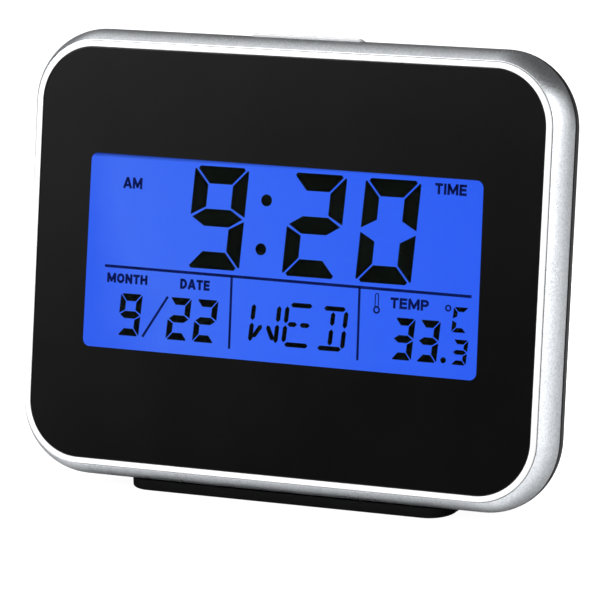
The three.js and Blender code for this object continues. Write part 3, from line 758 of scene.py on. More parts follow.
@dataclass(frozen=True)
class ClearPlastic(Finish):
    """Clear plastic with a faint haze; a low index stands for a coating against reflections."""

    light: Colour = (0.97, 0.98, 1.0)
    dark: Colour = (0.93, 0.95, 0.98)
    ior: float = 1.49
    gloss: Point2 = (0.0, 0.015)
    haze: float = 15.0

    def dress(self) -> None:
        """Wires the plastic."""
        graph = Graph(self.name)
        haze = graph.noise(self.haze, detail=3)
        graph.set(
            Base_Color=graph.ramp(haze, [(0.3, self.dark), (0.7, self.light)]),
            Roughness=graph.span(haze, *self.gloss),
            Transmission_Weight=1.0,
            IOR=self.ior,
        )


@dataclass(frozen=True)
class LitGlass(Finish):
    """Back-lit display glass, a little paler towards its lights, with painted shade darkening it along its upper
    edge.
    """

    side: Colour = (0.0345, 0.12, 0.87)
    near: Colour = (0.05, 0.15, 0.89)
    middle: Colour = (0.037, 0.134, 0.905)
    far: Colour = (0.0265, 0.113, 0.89)
    places: tuple[float, float, float, float] = (0.02, 0.155, 0.48, 1.0)
    # Painted shade: dark blue that the glass turns to along its upper edge, where the mask shades it
    edge: Colour = (0.004, 0.018, 0.16)
    unlit: Colour = (0.002, 0.004, 0.012)
    gloss: Point2 = (0.25, 0.4)
    half_width: float = 43.75
    head: float = 20.4
    # Span below the upper edge over which the painted shade fades in
    fade: float = 0.9

    def dress(self) -> None:
        """Wires the glass."""
        graph = Graph(self.name)
        parts = graph.parts(graph.place)
        along = graph.ease(parts["X"], (-self.half_width * MM, self.half_width * MM))
        down = graph.ease(parts["Z"], (self.head * MM, -self.head * MM))
        fall = graph.sum(along, down, share=-0.15)
        blend = graph.sum(fall, graph.noise(14.0, detail=2), share=0.2)
        lit = graph.ramp(blend, list(zip(self.places, (self.side, self.near, self.middle, self.far))))
        # Painted shade: the glow darkens towards the upper edge
        upper = graph.ease(parts["Z"], ((self.head - self.fade) * MM, self.head * MM))
        shade = graph.node("ShaderNodeMix", {0: upper, 6: lit, 7: self.edge}, data_type="RGBA")
        graph.set(
            Base_Color=self.unlit,
            Roughness=graph.span(graph.noise(0.4, detail=2), *self.gloss),
            Specular_IOR_Level=0.05,
            Emission_Color=shade.outputs[2],
            Emission_Strength=1.0,
        )


@dataclass(frozen=True)
class Metal(Finish):
    """Bare or plated metal with fine drawn lines."""

    light: Colour = (0.78, 0.78, 0.79)
    dark: Colour = (0.6, 0.6, 0.62)
    gloss: Point2 = (0.18, 0.34)
    lines: float = 0.3
    stretch: Point3 = (1, 1, 0.08)
    line_depth: float = 0.006
    cloud: float = 6.0

    def dress(self) -> None:
        """Wires the metal."""
        graph = Graph(self.name)
        drawn = graph.noise(self.lines, detail=3, stretch=self.stretch)
        cloud = graph.noise(self.cloud, detail=2)
        graph.set(
            Base_Color=graph.ramp(graph.sum(cloud, drawn, share=0.3), [(0.4, self.dark), (0.85, self.light)]),
            Metallic=1.0,
            Roughness=graph.span(drawn, *self.gloss),
            Normal=graph.bump(drawn, self.line_depth),
        )


@dataclass(frozen=True)
class BoardLaminate(Finish):
    """Green circuit board with copper runs under its lacquer."""

    lacquer: Colour = (0.012, 0.13, 0.045)
    copper: Colour = (0.03, 0.22, 0.07)
    gloss: Point2 = (0.25, 0.4)
    pitch: float = 2.2
    run_width: float = 0.06
    run_depth: float = 0.03
    weave: float = 0.5

    def dress(self) -> None:
        """Wires the board."""
        graph = Graph(self.name)
        brick = {"Vector": graph.place, "Scale": 1 / (self.pitch * MM), "Mortar Size": self.run_width}
        runs = graph.node("ShaderNodeTexBrick", brick).outputs["Fac"]
        weave = graph.noise(self.weave, detail=2)
        graph.set(
            Base_Color=graph.ramp(graph.sum(runs, weave, share=0.15), [(0.1, self.lacquer), (0.9, self.copper)]),
            Roughness=graph.span(weave, *self.gloss),
            Normal=graph.bump(runs, self.run_depth),
        )


@dataclass(frozen=True)
class CellSleeve(Finish):
    """Printed sleeve of a dry cell: two plain bands with a line between them, along its length."""

    body: Colour = (0.03, 0.09, 0.075)
    line: Colour = (0.62, 0.6, 0.52)
    band: Colour = (0.36, 0.37, 0.38)
    half_length: float = 25.0
    border: float = 11.0
    line_width: float = 1.0
    blur: float = 0.001
    gloss: Point2 = (0.22, 0.4)
    metallic: float = 0.35
    scuff: float = 4.0
    scuff_depth: float = 0.003
    toward: int = 1

    def dress(self) -> None:
        """Wires the sleeve."""
        graph = Graph(self.name)
        reach = self.half_length * self.toward
        along = graph.ease(graph.parts(graph.place)["X"], (-reach * MM, reach * MM))
        start = (self.half_length + self.border) / (2 * self.half_length)
        stop = start + self.line_width / (2 * self.half_length)
        stops = [(start - self.blur, self.body), (start, self.line)]
        stops += [(stop, self.line), (stop + self.blur, self.band)]
        scuff = graph.noise(self.scuff, detail=2)
        graph.set(
            Base_Color=graph.ramp(along, stops),
            Metallic=self.metallic,
            Roughness=graph.span(scuff, *self.gloss),
            Normal=graph.bump(scuff, self.scuff_depth),
        )


SILVER = MetallicPaint("silver_paint")
PALE_SILVER = MetallicPaint(
    "talk_bar_paint", light=(0.64, 0.645, 0.655), dark=(0.54, 0.545, 0.555), metallic=0.15, flake=0.18
)
LIP = MetallicPaint("lip_paint", (0.95, 0.95, 0.955), (0.88, 0.88, 0.885), 0.1, (0.35, 0.45), 0.2, 0.003)
PANEL = GlossPanel("gloss_panel")
CLEAR = ClearPlastic("clear_window", ior=1.1)
MASK = MouldedPlastic("mask_film", (0.004, 0.004, 0.004), (0.002, 0.002, 0.002), (0.5, 0.65), 0.5, 0.004)
LIT = LitGlass("lit_display")
INK = MouldedPlastic(
    "display_ink", (0.0014, 0.0028, 0.0008), (0.001, 0.002, 0.0006), (0.4, 0.5), 0.6, 0.002, 5, sheen=0.03
)
NAVY = MouldedPlastic(
    "display_line_ink", (0.002, 0.008, 0.1), (0.001, 0.005, 0.07), (0.4, 0.5), 0.6, 0.002, 5, sheen=0.03
)
CASE = MouldedPlastic(
    "black_case_plastic", (0.017, 0.017, 0.018), (0.01, 0.01, 0.011), (0.36, 0.5), 0.3, 0.02, sheen=0.35
)
FOOT = MouldedPlastic(
    "black_foot_plastic", (0.0045, 0.0045, 0.005), (0.002, 0.002, 0.0022), (0.34, 0.46), 0.3, 0.014, sheen=0.1
)
KEY = MouldedPlastic("key_satin_plastic", (0.05, 0.05, 0.054), (0.035, 0.035, 0.038), (0.4, 0.52), 0.25, 0.015)
KEY_MARK = MouldedPlastic("key_mark_paint", (0.5, 0.5, 0.51), (0.4, 0.4, 0.41), (0.45, 0.6), 0.2, 0.008)
SLIDER = MouldedPlastic("slider_satin_plastic", (0.5, 0.5, 0.51), (0.4, 0.4, 0.41), (0.35, 0.48), 0.25, 0.012)
RUBBER = MouldedPlastic("pad_rubber", (0.03, 0.03, 0.031), (0.018, 0.018, 0.019), (0.75, 0.92), 0.35, 0.05)
WHITE = MouldedPlastic("white_moulding", (0.8, 0.8, 0.77), (0.7, 0.7, 0.68), (0.4, 0.55))
FILM = MouldedPlastic("white_sheet", (0.88, 0.88, 0.88), (0.8, 0.8, 0.8), (0.45, 0.6), 0.1, 0.004)
GUIDE = ClearPlastic("light_guide_plastic", (0.9, 0.94, 1.0), (0.85, 0.9, 0.97), gloss=(0.02, 0.1))
LIGHTS = MouldedPlastic("light_bar_resin", (0.85, 0.82, 0.66), (0.72, 0.69, 0.55), (0.3, 0.45))
ELASTOMER = MouldedPlastic("strip_elastomer", (0.09, 0.09, 0.095), (0.05, 0.05, 0.053), (0.6, 0.8), 0.4, 0.03)
BOARD = BoardLaminate("board_laminate")
RESIN = MouldedPlastic("potting_resin", (0.008, 0.008, 0.009), (0.004, 0.004, 0.005), (0.15, 0.3), 0.5, 0.02)
STEEL = Metal("nickel_plate")
SCREW_STEEL = Metal("zinc_plate", (0.42, 0.42, 0.43), (0.28, 0.28, 0.29), (0.26, 0.42), 0.2, (1, 1, 1))
SWITCH = MouldedPlastic("switch_moulding", (0.016, 0.016, 0.017), (0.01, 0.01, 0.01), (0.4, 0.55))
PLUNGER = MouldedPlastic("plunger_moulding", (0.2, 0.03, 0.022), (0.14, 0.02, 0.016), (0.4, 0.55))
BASKET = Metal("pressed_steel", (0.4, 0.4, 0.42), (0.3, 0.3, 0.31), (0.3, 0.45), 0.4, (1, 1, 1))
CONE = MouldedPlastic("cone_paper", (0.02, 0.02, 0.021), (0.011, 0.011, 0.012), (0.7, 0.88), 0.5, 0.06, 3)
MAGNET = Metal("magnet_steel", (0.16, 0.16, 0.17), (0.1, 0.1, 0.11), (0.35, 0.5), 0.4, (1, 1, 1))
LEAD = MouldedPlastic("lead_sleeve", (0.42, 0.02, 0.02), (0.32, 0.015, 0.015), (0.35, 0.5))
SLEEVE_LEFT = CellSleeve("cell_sleeve_left", toward=-1)
SLEEVE_RIGHT = CellSleeve("cell_sleeve_right", toward=1)


def fit(piece: Piece, body: str, slot: str, *nodes: str) -> None:
    """Makes a piece ride on a body and stand for its nodes.

    Args:
        piece: The piece.
        body: The body that it moves with.
        slot: The record's material slot; not used.
        nodes: The nodes that it stands for.
    """
    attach(piece, body)
    if nodes:
        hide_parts(*nodes)
    LOG.info("%s: %d faces on body %s", piece.name, len(piece.data.polygons), body)


@dataclass
class Assembly:
    """A sub-assembly of the clock."""

    body: BodyFrame
    shape: CaseShape

    def build(self) -> None:
        """Builds and dresses its pieces."""
        raise NotImplementedError


class BezelFinish(Enum):
    """Finishes of the bezel, by their numbers on its mesh; the last is black painted shade on the pocket wall and
    the groove's floor.
    """

    PAINT = 0
    LIP = 1
    # Painted shade: black mask film where the pocket and the groove fall in shade
    SHADOW = 2


@dataclass
class FrontBezel(Assembly):
    """Silver bezel: a flat lip round the panel, a rounded side, and a plate behind the panel."""

    edge_round: float = 0.12
    edge_steps: int = 4
    groove: Point2 = (0.12, 0.22)
    side_steps: int = 18
    rear_round: float = 0.3
    rear_steps: int = 5
    plate_front: float = 2.6
    plate_back: float = 4.6
    tongue_reach: float = 1.25
    tongue_back: float = 7.2
    opening: Point2 = (94.9, 44.8)
    opening_middle: float = -1.05
    opening_corner: float = 0.4
    notch: Point2 = (24.9, 38.0)
    notch_middle: float = 57.0
    notch_corner: float = 0.3
    notch_gap: float = 0.01
    boss_radii: Point2 = (2.4, 3.0)
    pilot_radii: Point2 = (1.15, 1.4)
    boss_backs: Point2 = (9.9, 15.8)
    boss_places: tuple[Point2, Point2] = ((36.05, 28.05), (42.55, 28.65))
    boss_steps: int = 32

    def profile(self) -> list[tuple[list[Point2], BezelFinish]]:
        """Section from the lens's pocket round the lip and side to the tongue.

        Returns:
            Its stretches, each with the finish that follows its points.
        """
        shape, small, steps = self.shape, self.edge_round, self.edge_steps
        face = -shape.lip_rise
        stop = math.degrees(math.asin(self.rear_round / shape.side_radius))
        centre = (shape.crest - shape.side_radius, shape.side_depth)
        side = arc(centre, shape.side_radius, -shape.side_start, -stop, self.side_steps)
        corner = (side[-1][0] - self.rear_round, shape.side_depth - self.rear_round)
        rear = arc(corner, self.rear_round, 0, 90, self.rear_steps)
        lip = [
            *arc((small, face + small), small, 180, 270, steps),
            *arc((shape.lip_width - small, face + small), small, 270, 360, steps),
        ]
        width, floor = self.groove
        rest = [
            (shape.lip_width + width, floor),
            *side[1:],
            *rear[1:],
            (self.tongue_reach, shape.side_depth),
            (self.tongue_reach, self.tongue_back),
            (0, self.tongue_back),
            (0, self.plate_back),
        ]
        return [
            # The pocket wall and the groove's floor are painted black as painted shade
            ([(0, self.plate_front)], BezelFinish.SHADOW),
            (lip, BezelFinish.LIP),
            ([(shape.lip_width, floor)], BezelFinish.SHADOW),
            (rest, BezelFinish.PAINT),
        ]

    def build(self) -> None:
        """Builds and dresses the bezel."""
        shape = self.shape
        gap = rounded(self.opening, self.opening_corner, shape.corner_steps, (0, self.opening_middle))
        rings, finishes = [], []
        for points, finish in self.profile():
            rings += [shape.ring(reach, depth) for reach, depth in points]
            finishes += [finish.value] * len(points)
        rings += [at_depth(gap, self.plate_back), at_depth(gap, self.plate_front)]
        finishes += [BezelFinish.PAINT.value] * 2
        shell = Shell().loft(rings, looped=True)
        shell.finishes = [finish for finish in finishes for _ in rings[0]]
        bosses = zip(self.boss_places, self.boss_radii, self.pilot_radii, self.boss_backs)
        for place, radius, pilot, back in bosses:
            wall = [(pilot, self.plate_back), (radius, self.plate_back), (radius, back), (pilot, back)]
            for u, v in four_places(*place):
                shell.turned(wall, (u, 0, v), steps=self.boss_steps, looped=True)
        # The mask film's black also serves as painted shade in the pocket and the groove
        looks = [SILVER.material, LIP.material, MASK.material]
        bezel = shell.make("silver_bezel", self.body.place, looks, FINE_SHARP)
        notch = rounded(self.notch, self.notch_corner, 4, (0, self.notch_middle))
        tool = Shell().prism(notch, shape.side_depth + self.notch_gap, self.tongue_back + PAST)
        combine(bezel, tool, Combine.CUT)
        even_normals(bezel, FINE_SHARP)
        fit(bezel, "case", "silver_bezel", "front_bezel")


@dataclass
class FrontPanel(Assembly):
    """Gloss panel with its clear window, and the mask film behind it."""

    clearance: float = 0.15
    edge_round: float = 0.08
    edge_steps: int = 5
    window_half: Point2 = (43.9, 19.65)
    window_corners: tuple[Point2, ...] = ((43.25, 19.8), (-44.15, 20.45), (-44.35, -19.05), (43.7, -19.35))
    window_round: float = 1.5
    window_flare: float = 2.2
    mask_depths: Point2 = (2.0, 2.3)

    def window_ring(self, grow: float, depth: float) -> list[Point3]:
        """Ring round the window, whose sides lean a little.

        Args:
            grow: How far it is grown on all sides.
            depth: Its depth.

        Returns:
            Its points.
        """
        plain_u, plain_v = self.window_half
        half_u, half_v = plain_u + grow, plain_v + grow
        signs = ((1, 1), (-1, 1), (-1, -1), (1, -1))
        ring = []
        for x, y in rounded((2 * half_u, 2 * half_v), self.window_round + grow, self.shape.corner_steps):
            right, up = (1 + x / half_u) / 2, (1 + y / half_v) / 2
            shares = (right * up, (1 - right) * up, (1 - right) * (1 - up), right * (1 - up))
            u, v = x, y
            for share, (side, end), (corner_u, corner_v) in zip(shares, signs, self.window_corners):
                u += share * (corner_u - side * plain_u)
                v += share * (corner_v - end * plain_v)
            ring.append((u, depth, v))
        return ring

    def build_panel(self) -> None:
        """Builds the panel, clear inside the window."""
        shape, edge, thickness = self.shape, self.edge_round, self.body.lens_thickness
        shell = Shell()
        front_window = shell.ring(self.window_ring(0, 0))
        back_window = shell.ring(self.window_ring(self.window_flare, thickness))
        rim = arc((-self.clearance - edge, edge), edge, 270, 360, self.edge_steps)
        rim.append((-self.clearance, thickness))
        rows = [shell.ring(shape.ring(reach, depth)) for reach, depth in rim]
        for near, far in zip([front_window, *rows], [*rows, back_window]):
            shell.bridge(near, far)
        shell.face(front_window, 1)
        shell.face(back_window, 1)
        panel = shell.make("gloss_panel", self.body.place, [PANEL.material, CLEAR.material], FINE_SHARP)
        even_normals(panel, FINE_SHARP)
        fit(panel, "case", "clear_lens", "front_lens")

    def build_mask(self) -> None:
        """Builds the mask film."""
        front, back = self.mask_depths
        rings = [self.shape.ring(-self.clearance, front), self.shape.ring(-self.clearance, back)]
        rings += [self.window_ring(self.window_flare, depth) for depth in (back, front)]
        mask = Shell().loft(rings, looped=True).make("mask_film", self.body.place, [MASK.material])
        fit(mask, "case", "black_mask", "window_mask")

    def build(self) -> None:
        """Builds and dresses the panel and the mask."""
        self.build_panel()
        self.build_mask()


# Lit segments of each figure, by their usual letters: from the top clockwise, and then the middle
LIT_SEGMENTS: dict[str, str] = {"0": "ABCDEF", "2": "ABGED", "3": "ABGCD", "9": "ABCDFG", "C": "AFED"}


@dataclass(frozen=True)
class Digit:
    """A slanted seven-segment digit on the display, placed by the middle of its foot.

    Slip and tip are shares of the gap, and the other cuts of its segments' corners are shares of the bar.
    """

    text: str
    u: float
    v: float
    width: float
    height: float
    bar: float
    rung: float
    gap: float
    slant: float
    slip: float = 0.7
    tip: float = 1.1
    cut: float = 0.22
    cut_inner: float = 0.077
    blunt: float = 0.36
    blunt_inner: float = 0.162

    def segments(self) -> dict[str, list[Point2]]:
        """Upright outlines of its segments.

        Returns:
            Their points from the digit's lower left corner, by the segments' letters.
        """
        w, h, t, r, mid = self.width, self.height, self.bar, self.rung, self.height / 2
        slip, tip = self.slip * self.gap, self.tip * self.gap
        cut, inner, blunt, heel = (share * t for share in (self.cut, self.cut_inner, self.blunt, self.blunt_inner))
        half_top = [(blunt, h), (heel + slip, h - heel), (t + slip, h - r)]
        top = half_top + [(w - x, y) for x, y in reversed(half_top)]
        left = [
            (0, h - cut),
            (0, mid + tip),
            (t, mid + r / 2 + tip),
            (t, h - r - slip),
            (inner, h - inner - slip),
        ]
        middle = [(tip, mid), (t, mid - r / 2), (w - t, mid - r / 2)]
        middle += [(w - tip, mid), (w - t, mid + r / 2), (t, mid + r / 2)]
        right = [(w - x, y) for x, y in reversed(left)]
        low_top, low_left, low_right = ([(x, h - y) for x, y in reversed(side)] for side in (top, left, right))
        return dict(zip("ABCDEFG", (top, right, low_right, low_top, low_left, left, middle)))

    def outlines(self) -> list[list[Point2]]:
        """Outlines of its lit segments on the display.

        Returns:
            The outlines.
        """
        segments, left = self.segments(), self.u - self.width / 2
        lit = [segments[letter] for letter in LIT_SEGMENTS[self.text]]
        return [[(left + x + self.slant * y, self.v + y) for x, y in outline] for outline in lit]


@dataclass(frozen=True)
class Letter:
    """A slanted sixteen-segment letter, as strokes between places of its cell, by the middle of its foot."""

    strokes: tuple[tuple[Point2, Point2], ...]
    u: float
    v: float
    width: float = 5.7
    height: float = 8.0
    bar: float = 0.95
    gap: float = 0.12
    slant: float = 0.085

    def outlines(self) -> list[list[Point2]]:
        """Outlines of its strokes on the display.

        Returns:
            The outlines.
        """
        found = []
        for places in self.strokes:
            start, stop = (Vector(((x - 0.5) * self.width, y * self.height)) for x, y in places)
            along = (stop - start).normalized()
            side = Vector((-along.y, along.x)) * self.bar / 2
            half = along * self.bar / 2
            first, last = start + along * self.gap, stop - along * self.gap
            points = [first, first + half - side, last - half - side, last, last - half + side, first + half + side]
            found.append([(self.u + p.x + self.slant * p.y, self.v + p.y) for p in points])
        return found


# Strokes of the weekday's letters, each between two places of a unit cell
LETTER_W = (
    ((0.0, 0.97), (0.0, 0.53)),
    ((1.0, 0.97), (1.0, 0.53)),
    ((0.0, 0.5), (0.0, 0.0)),
    ((1.0, 0.5), (1.0, 0.0)),
    ((0.4, 0.46), (0.08, 0.1)),
    ((0.6, 0.46), (0.9, 0.06)),
)
LETTER_E = (
    ((0.1, 1.0), (0.98, 1.0)),
    ((0.0, 0.97), (0.0, 0.51)),
    ((0.0, 0.49), (0.0, 0.03)),
    ((0.05, 0.51), (0.47, 0.51)),
    ((0.53, 0.51), (0.97, 0.51)),
    ((0.02, 0.0), (0.98, 0.0)),
)
LETTER_D = (
    ((0.1, 1.0), (0.98, 1.0)),
    ((0.5, 0.93), (0.5, 0.55)),
    ((0.5, 0.5), (0.5, 0.06)),
    ((1.0, 0.97), (1.0, 0.51)),
    ((1.0, 0.49), (1.0, 0.0)),
    ((0.02, 0.0), (0.98, 0.0)),
)
# Printed letters: their width as a share of the widest, and the strokes through places of a unit cell
LETTER_LINES: dict[str, tuple[float, tuple[tuple[Point2, ...], ...]]] = {
    "A": (0.8, (((0, 0), (0.44, 1)), ((0.56, 1), (1, 0)), ((0.2, 0.24), (0.8, 0.24)))),
    "D": (0.72, (((0, 0), (0, 1)), ((0.1, 1), (0.5, 1), (0.88, 0.8), (1, 0.5), (0.88, 0.2), (0.5, 0), (0.1, 0)))),
    "E": (0.62, (((1, 1), (0, 1), (0, 0), (1, 0)), ((0, 0.52), (0.92, 0.52)))),
    "H": (0.72, (((0, 0), (0, 1)), ((1, 0), (1, 1)), ((0, 0.52), (1, 0.52)))),
    "I": (0.22, (((0.5, 0), (0.5, 1)),)),
    "M": (0.92, (((0, 0), (0, 1)), ((1, 0), (1, 1)), ((0.06, 1), (0.48, 0.14)), ((0.52, 0.14), (0.94, 1)))),
    "N": (0.72, (((0, 0), (0, 1)), ((1, 0), (1, 1)), ((0.04, 1), (0.96, 0)))),
    "O": (
        0.78,
        tuple(
            ((0.5, 1), (x, 0.94), (edge, 0.7), (edge, 0.3), (x, 0.06), (0.5, 0))
            for x, edge in ((0.2, 0.02), (0.8, 0.98))
        ),
    ),
    "P": (0.66, (((0, 0), (0, 1)), ((0.1, 1), (0.7, 1), (0.97, 0.86), (0.97, 0.6), (0.7, 0.46), (0.1, 0.46)))),
    "T": (0.66, (((0, 1), (1, 1)), ((0.5, 1), (0.5, 0)))),
}


@dataclass(frozen=True)
class Label:
    """A printed word of the display: its left end, its baseline, its width and the height of its capitals."""

    text: str
    u: float
    v: float
    width: float
    height: float
    line: float = 0.52
    space: float = 0.09

    def lines(self) -> list[list[Point2]]:
        """Middle lines of its letters' strokes on the display.

        Returns:
            The lines, whose ends reach half a line's width on.
        """
        widths = [LETTER_LINES[letter][0] for letter in self.text]
        stretch = self.width / (sum(widths) + self.space * (len(widths) - 1))
        half = self.line / 2
        found = []
        left = self.u
        for letter, width in zip(self.text, widths):
            across, up = width * stretch - self.line, self.height - self.line
            for stroke in LETTER_LINES[letter][1]:
                spots = [Vector((left + half + x * across, self.v + half + y * up)) for x, y in stroke]
                first, last = (spots[0] - spots[1]).normalized(), (spots[-1] - spots[-2]).normalized()
                ends = spots[0] + first * half, spots[-1] + last * half
                found.append([tuple(spot) for spot in (ends[0], *spots[1:-1], ends[1])])
            left += (width + self.space) * stretch
        return found


@dataclass
class Display(Assembly):
    """Back-lit glass with its digits, letters, labels and ruled lines.

    A rule is its two ends and its width, the stem is its place across, its head, its foot and half its width, and
    the dots, the ring and the bulb are their places and radii.
    """

    glass_front: float = 2.6
    glass_back: float = 5.4
    glass: Point2 = (94.3, 44.2)
    glass_middle: float = -1.05
    glass_corner: float = 0.4
    glass_edge: float = 0.2
    ink: float = 0.05
    ink_sharp: float = 20.0
    shift: float = -0.19
    round_steps: int = 28
    stem_steps: int = 10
    least_mitre: float = 0.5
    digits: tuple[Digit, ...] = (
        Digit("9", -16.55, -1.65, 12.2, 20.75, 3.3, 3.5, 0.38, 0.066),
        Digit("2", 5.3, -1.8, 12.2, 20.75, 3.3, 3.5, 0.38, 0.066),
        Digit("0", 21.6, -1.9, 12.15, 20.75, 3.3, 3.5, 0.38, 0.066),
        Digit("9", -35.2, -16.5, 4.95, 8.6, 1.28, 1.48, 0.22, 0.078),
        Digit("2", -23.95, -16.56, 4.95, 8.65, 1.28, 1.48, 0.22, 0.078),
        Digit("2", -17.85, -16.58, 4.95, 8.7, 1.28, 1.48, 0.22, 0.078),
        Digit("3", 26.3, -16.72, 4.5, 8.35, 1.28, 1.48, 0.22, 0.078),
        Digit("3", 31.78, -16.74, 4.5, 8.35, 1.28, 1.48, 0.22, 0.078),
        Digit("3", 38.8, -16.75, 3.25, 5.0, 0.85, 0.9, 0.18, 0.078),
        Digit("C", 38.6, -10.37, 3.25, 5.0, 0.9, 0.9, 0.18, 0.078),
    )
    letters: tuple[Letter, ...] = (
        Letter(LETTER_W, -4.4, -15.62),
        Letter(LETTER_E, 3.1, -15.55),
        Letter(LETTER_D, 10.5, -15.66),
    )
    dots: tuple[Point3, ...] = ((-4.94, 12.96, 1.2), (-5.73, 3.09, 1.2), (35.55, -16.05, 0.6))
    labels: tuple[Label, ...] = (
        Label("AM", -37.65, 13.46, 4.35, 2.27),
        Label("TIME", 32.0, 16.5, 6.85, 2.2),
        Label("MONTH", -40.45, -5.9, 9.3, 1.95),
        Label("DATE", -23.6, -6.08, 6.72, 2.06),
        Label("TEMP", 23.5, -6.63, 8.4, 2.16),
    )
    rules: tuple[tuple[Point2, Point2, float], ...] = (
        ((-41.1, -2.58), (41.0, -3.12), 0.58),
        ((-11.98, -2.85), (-11.84, -17.4), 0.5),
        ((16.6, -2.95), (16.85, -17.5), 0.5),
        ((-26.3, -7.9), (-31.75, -16.48), 0.5),
    )
    ring: Point3 = (36.1, -5.73, 0.68)
    bulb: Point3 = (20.55, -7.2, 0.75)
    round_line: float = 0.33
    stem: tuple[float, float, float, float] = (20.52, -3.85, -6.6, 0.45)
    stem_line: float = 0.2

    @property
    def ink_place(self) -> Matrix:
        """Where the inks' own frame lies."""
        return self.body.place @ Matrix.Translation((self.shift * MM, 0, 0))

    def spot(self, u: float, v: float, radius: float) -> list[Point2]:
        """Outline of a disc on the display."""
        return moved(disc(radius, self.round_steps), u, v)

    def fill(self, shell: Shell, outline: Outline) -> None:
        """Adds a filled shape of ink."""
        shell.prism(outline, self.glass_front - self.ink, self.glass_front)

    def hoop(self, shell: Shell, outline: Outline, width: float) -> None:
        """Adds a closed line of ink of a width along the inside of an outline."""
        front, back = self.glass_front - self.ink, self.glass_front
        shell.stack(outline, [(0, front), (0, back), (width, back), (width, front)], looped=True)

    def stroke(self, points: Outline, width: float) -> list[Point2]:
        """Outline of a line along its middle points.

        Args:
            points: Its middle points.
            width: Its width.

        Returns:
            Its outline.
        """
        left, right = [], []
        for i, point in enumerate(points):
            here = Vector(point)
            first = here - Vector(points[i - 1]) if i else Vector(points[1]) - here
            second = Vector(points[i + 1]) - here if i + 1 < len(points) else first
            aside = mitre(first.normalized(), second.normalized(), width / 2, self.least_mitre)
            left.append(tuple(here + aside))
            right.append(tuple(here - aside))
        return right + left[::-1]

    def build_glass(self) -> None:
        """Builds the lit glass."""
        outline = rounded(self.glass, self.glass_corner, 4, (0, self.glass_middle))
        shell = Shell().prism(outline, self.glass_front, self.glass_back, self.glass_edge)
        lit = shell.make("display_lit_glass", self.body.place, [LIT.material])
        even_normals(lit)
        fit(lit, "case", "display_glass", "display_glass")

    def build_figures(self) -> None:
        """Builds the digits, the letters and the dots."""
        shell = Shell()
        for sign in (*self.digits, *self.letters):
            for outline in sign.outlines():
                self.fill(shell, outline)
        for dot in self.dots:
            self.fill(shell, self.spot(*dot))
        figures = shell.make("display_figures", self.ink_place, [INK.material], self.ink_sharp)
        fit(figures, "case", "display_glass")

    def build_print(self) -> None:
        """Builds the ruled lines, the ring, the stem with its bulb and the labels."""
        shell = Shell()
        for start, stop, width in self.rules:
            self.fill(shell, self.stroke((start, stop), width))
        u, head, foot, half = self.stem
        stem = arc((u, head - half), half, 0, 180, self.stem_steps) + [(u - half, foot), (u + half, foot)]
        self.hoop(shell, self.spot(*self.ring), self.round_line)
        self.hoop(shell, stem, self.stem_line)
        self.hoop(shell, self.spot(*self.bulb), self.round_line)
        for label in self.labels:
            for points in label.lines():
                self.fill(shell, self.stroke(points, label.line))
        labels = shell.make("display_labels", self.ink_place, [NAVY.material], self.ink_sharp)
        fit(labels, "case", "display_glass")

    def build(self) -> None:
        """Builds and dresses the glass and what it shows."""
        self.build_glass()
        self.build_figures()
        self.build_print()


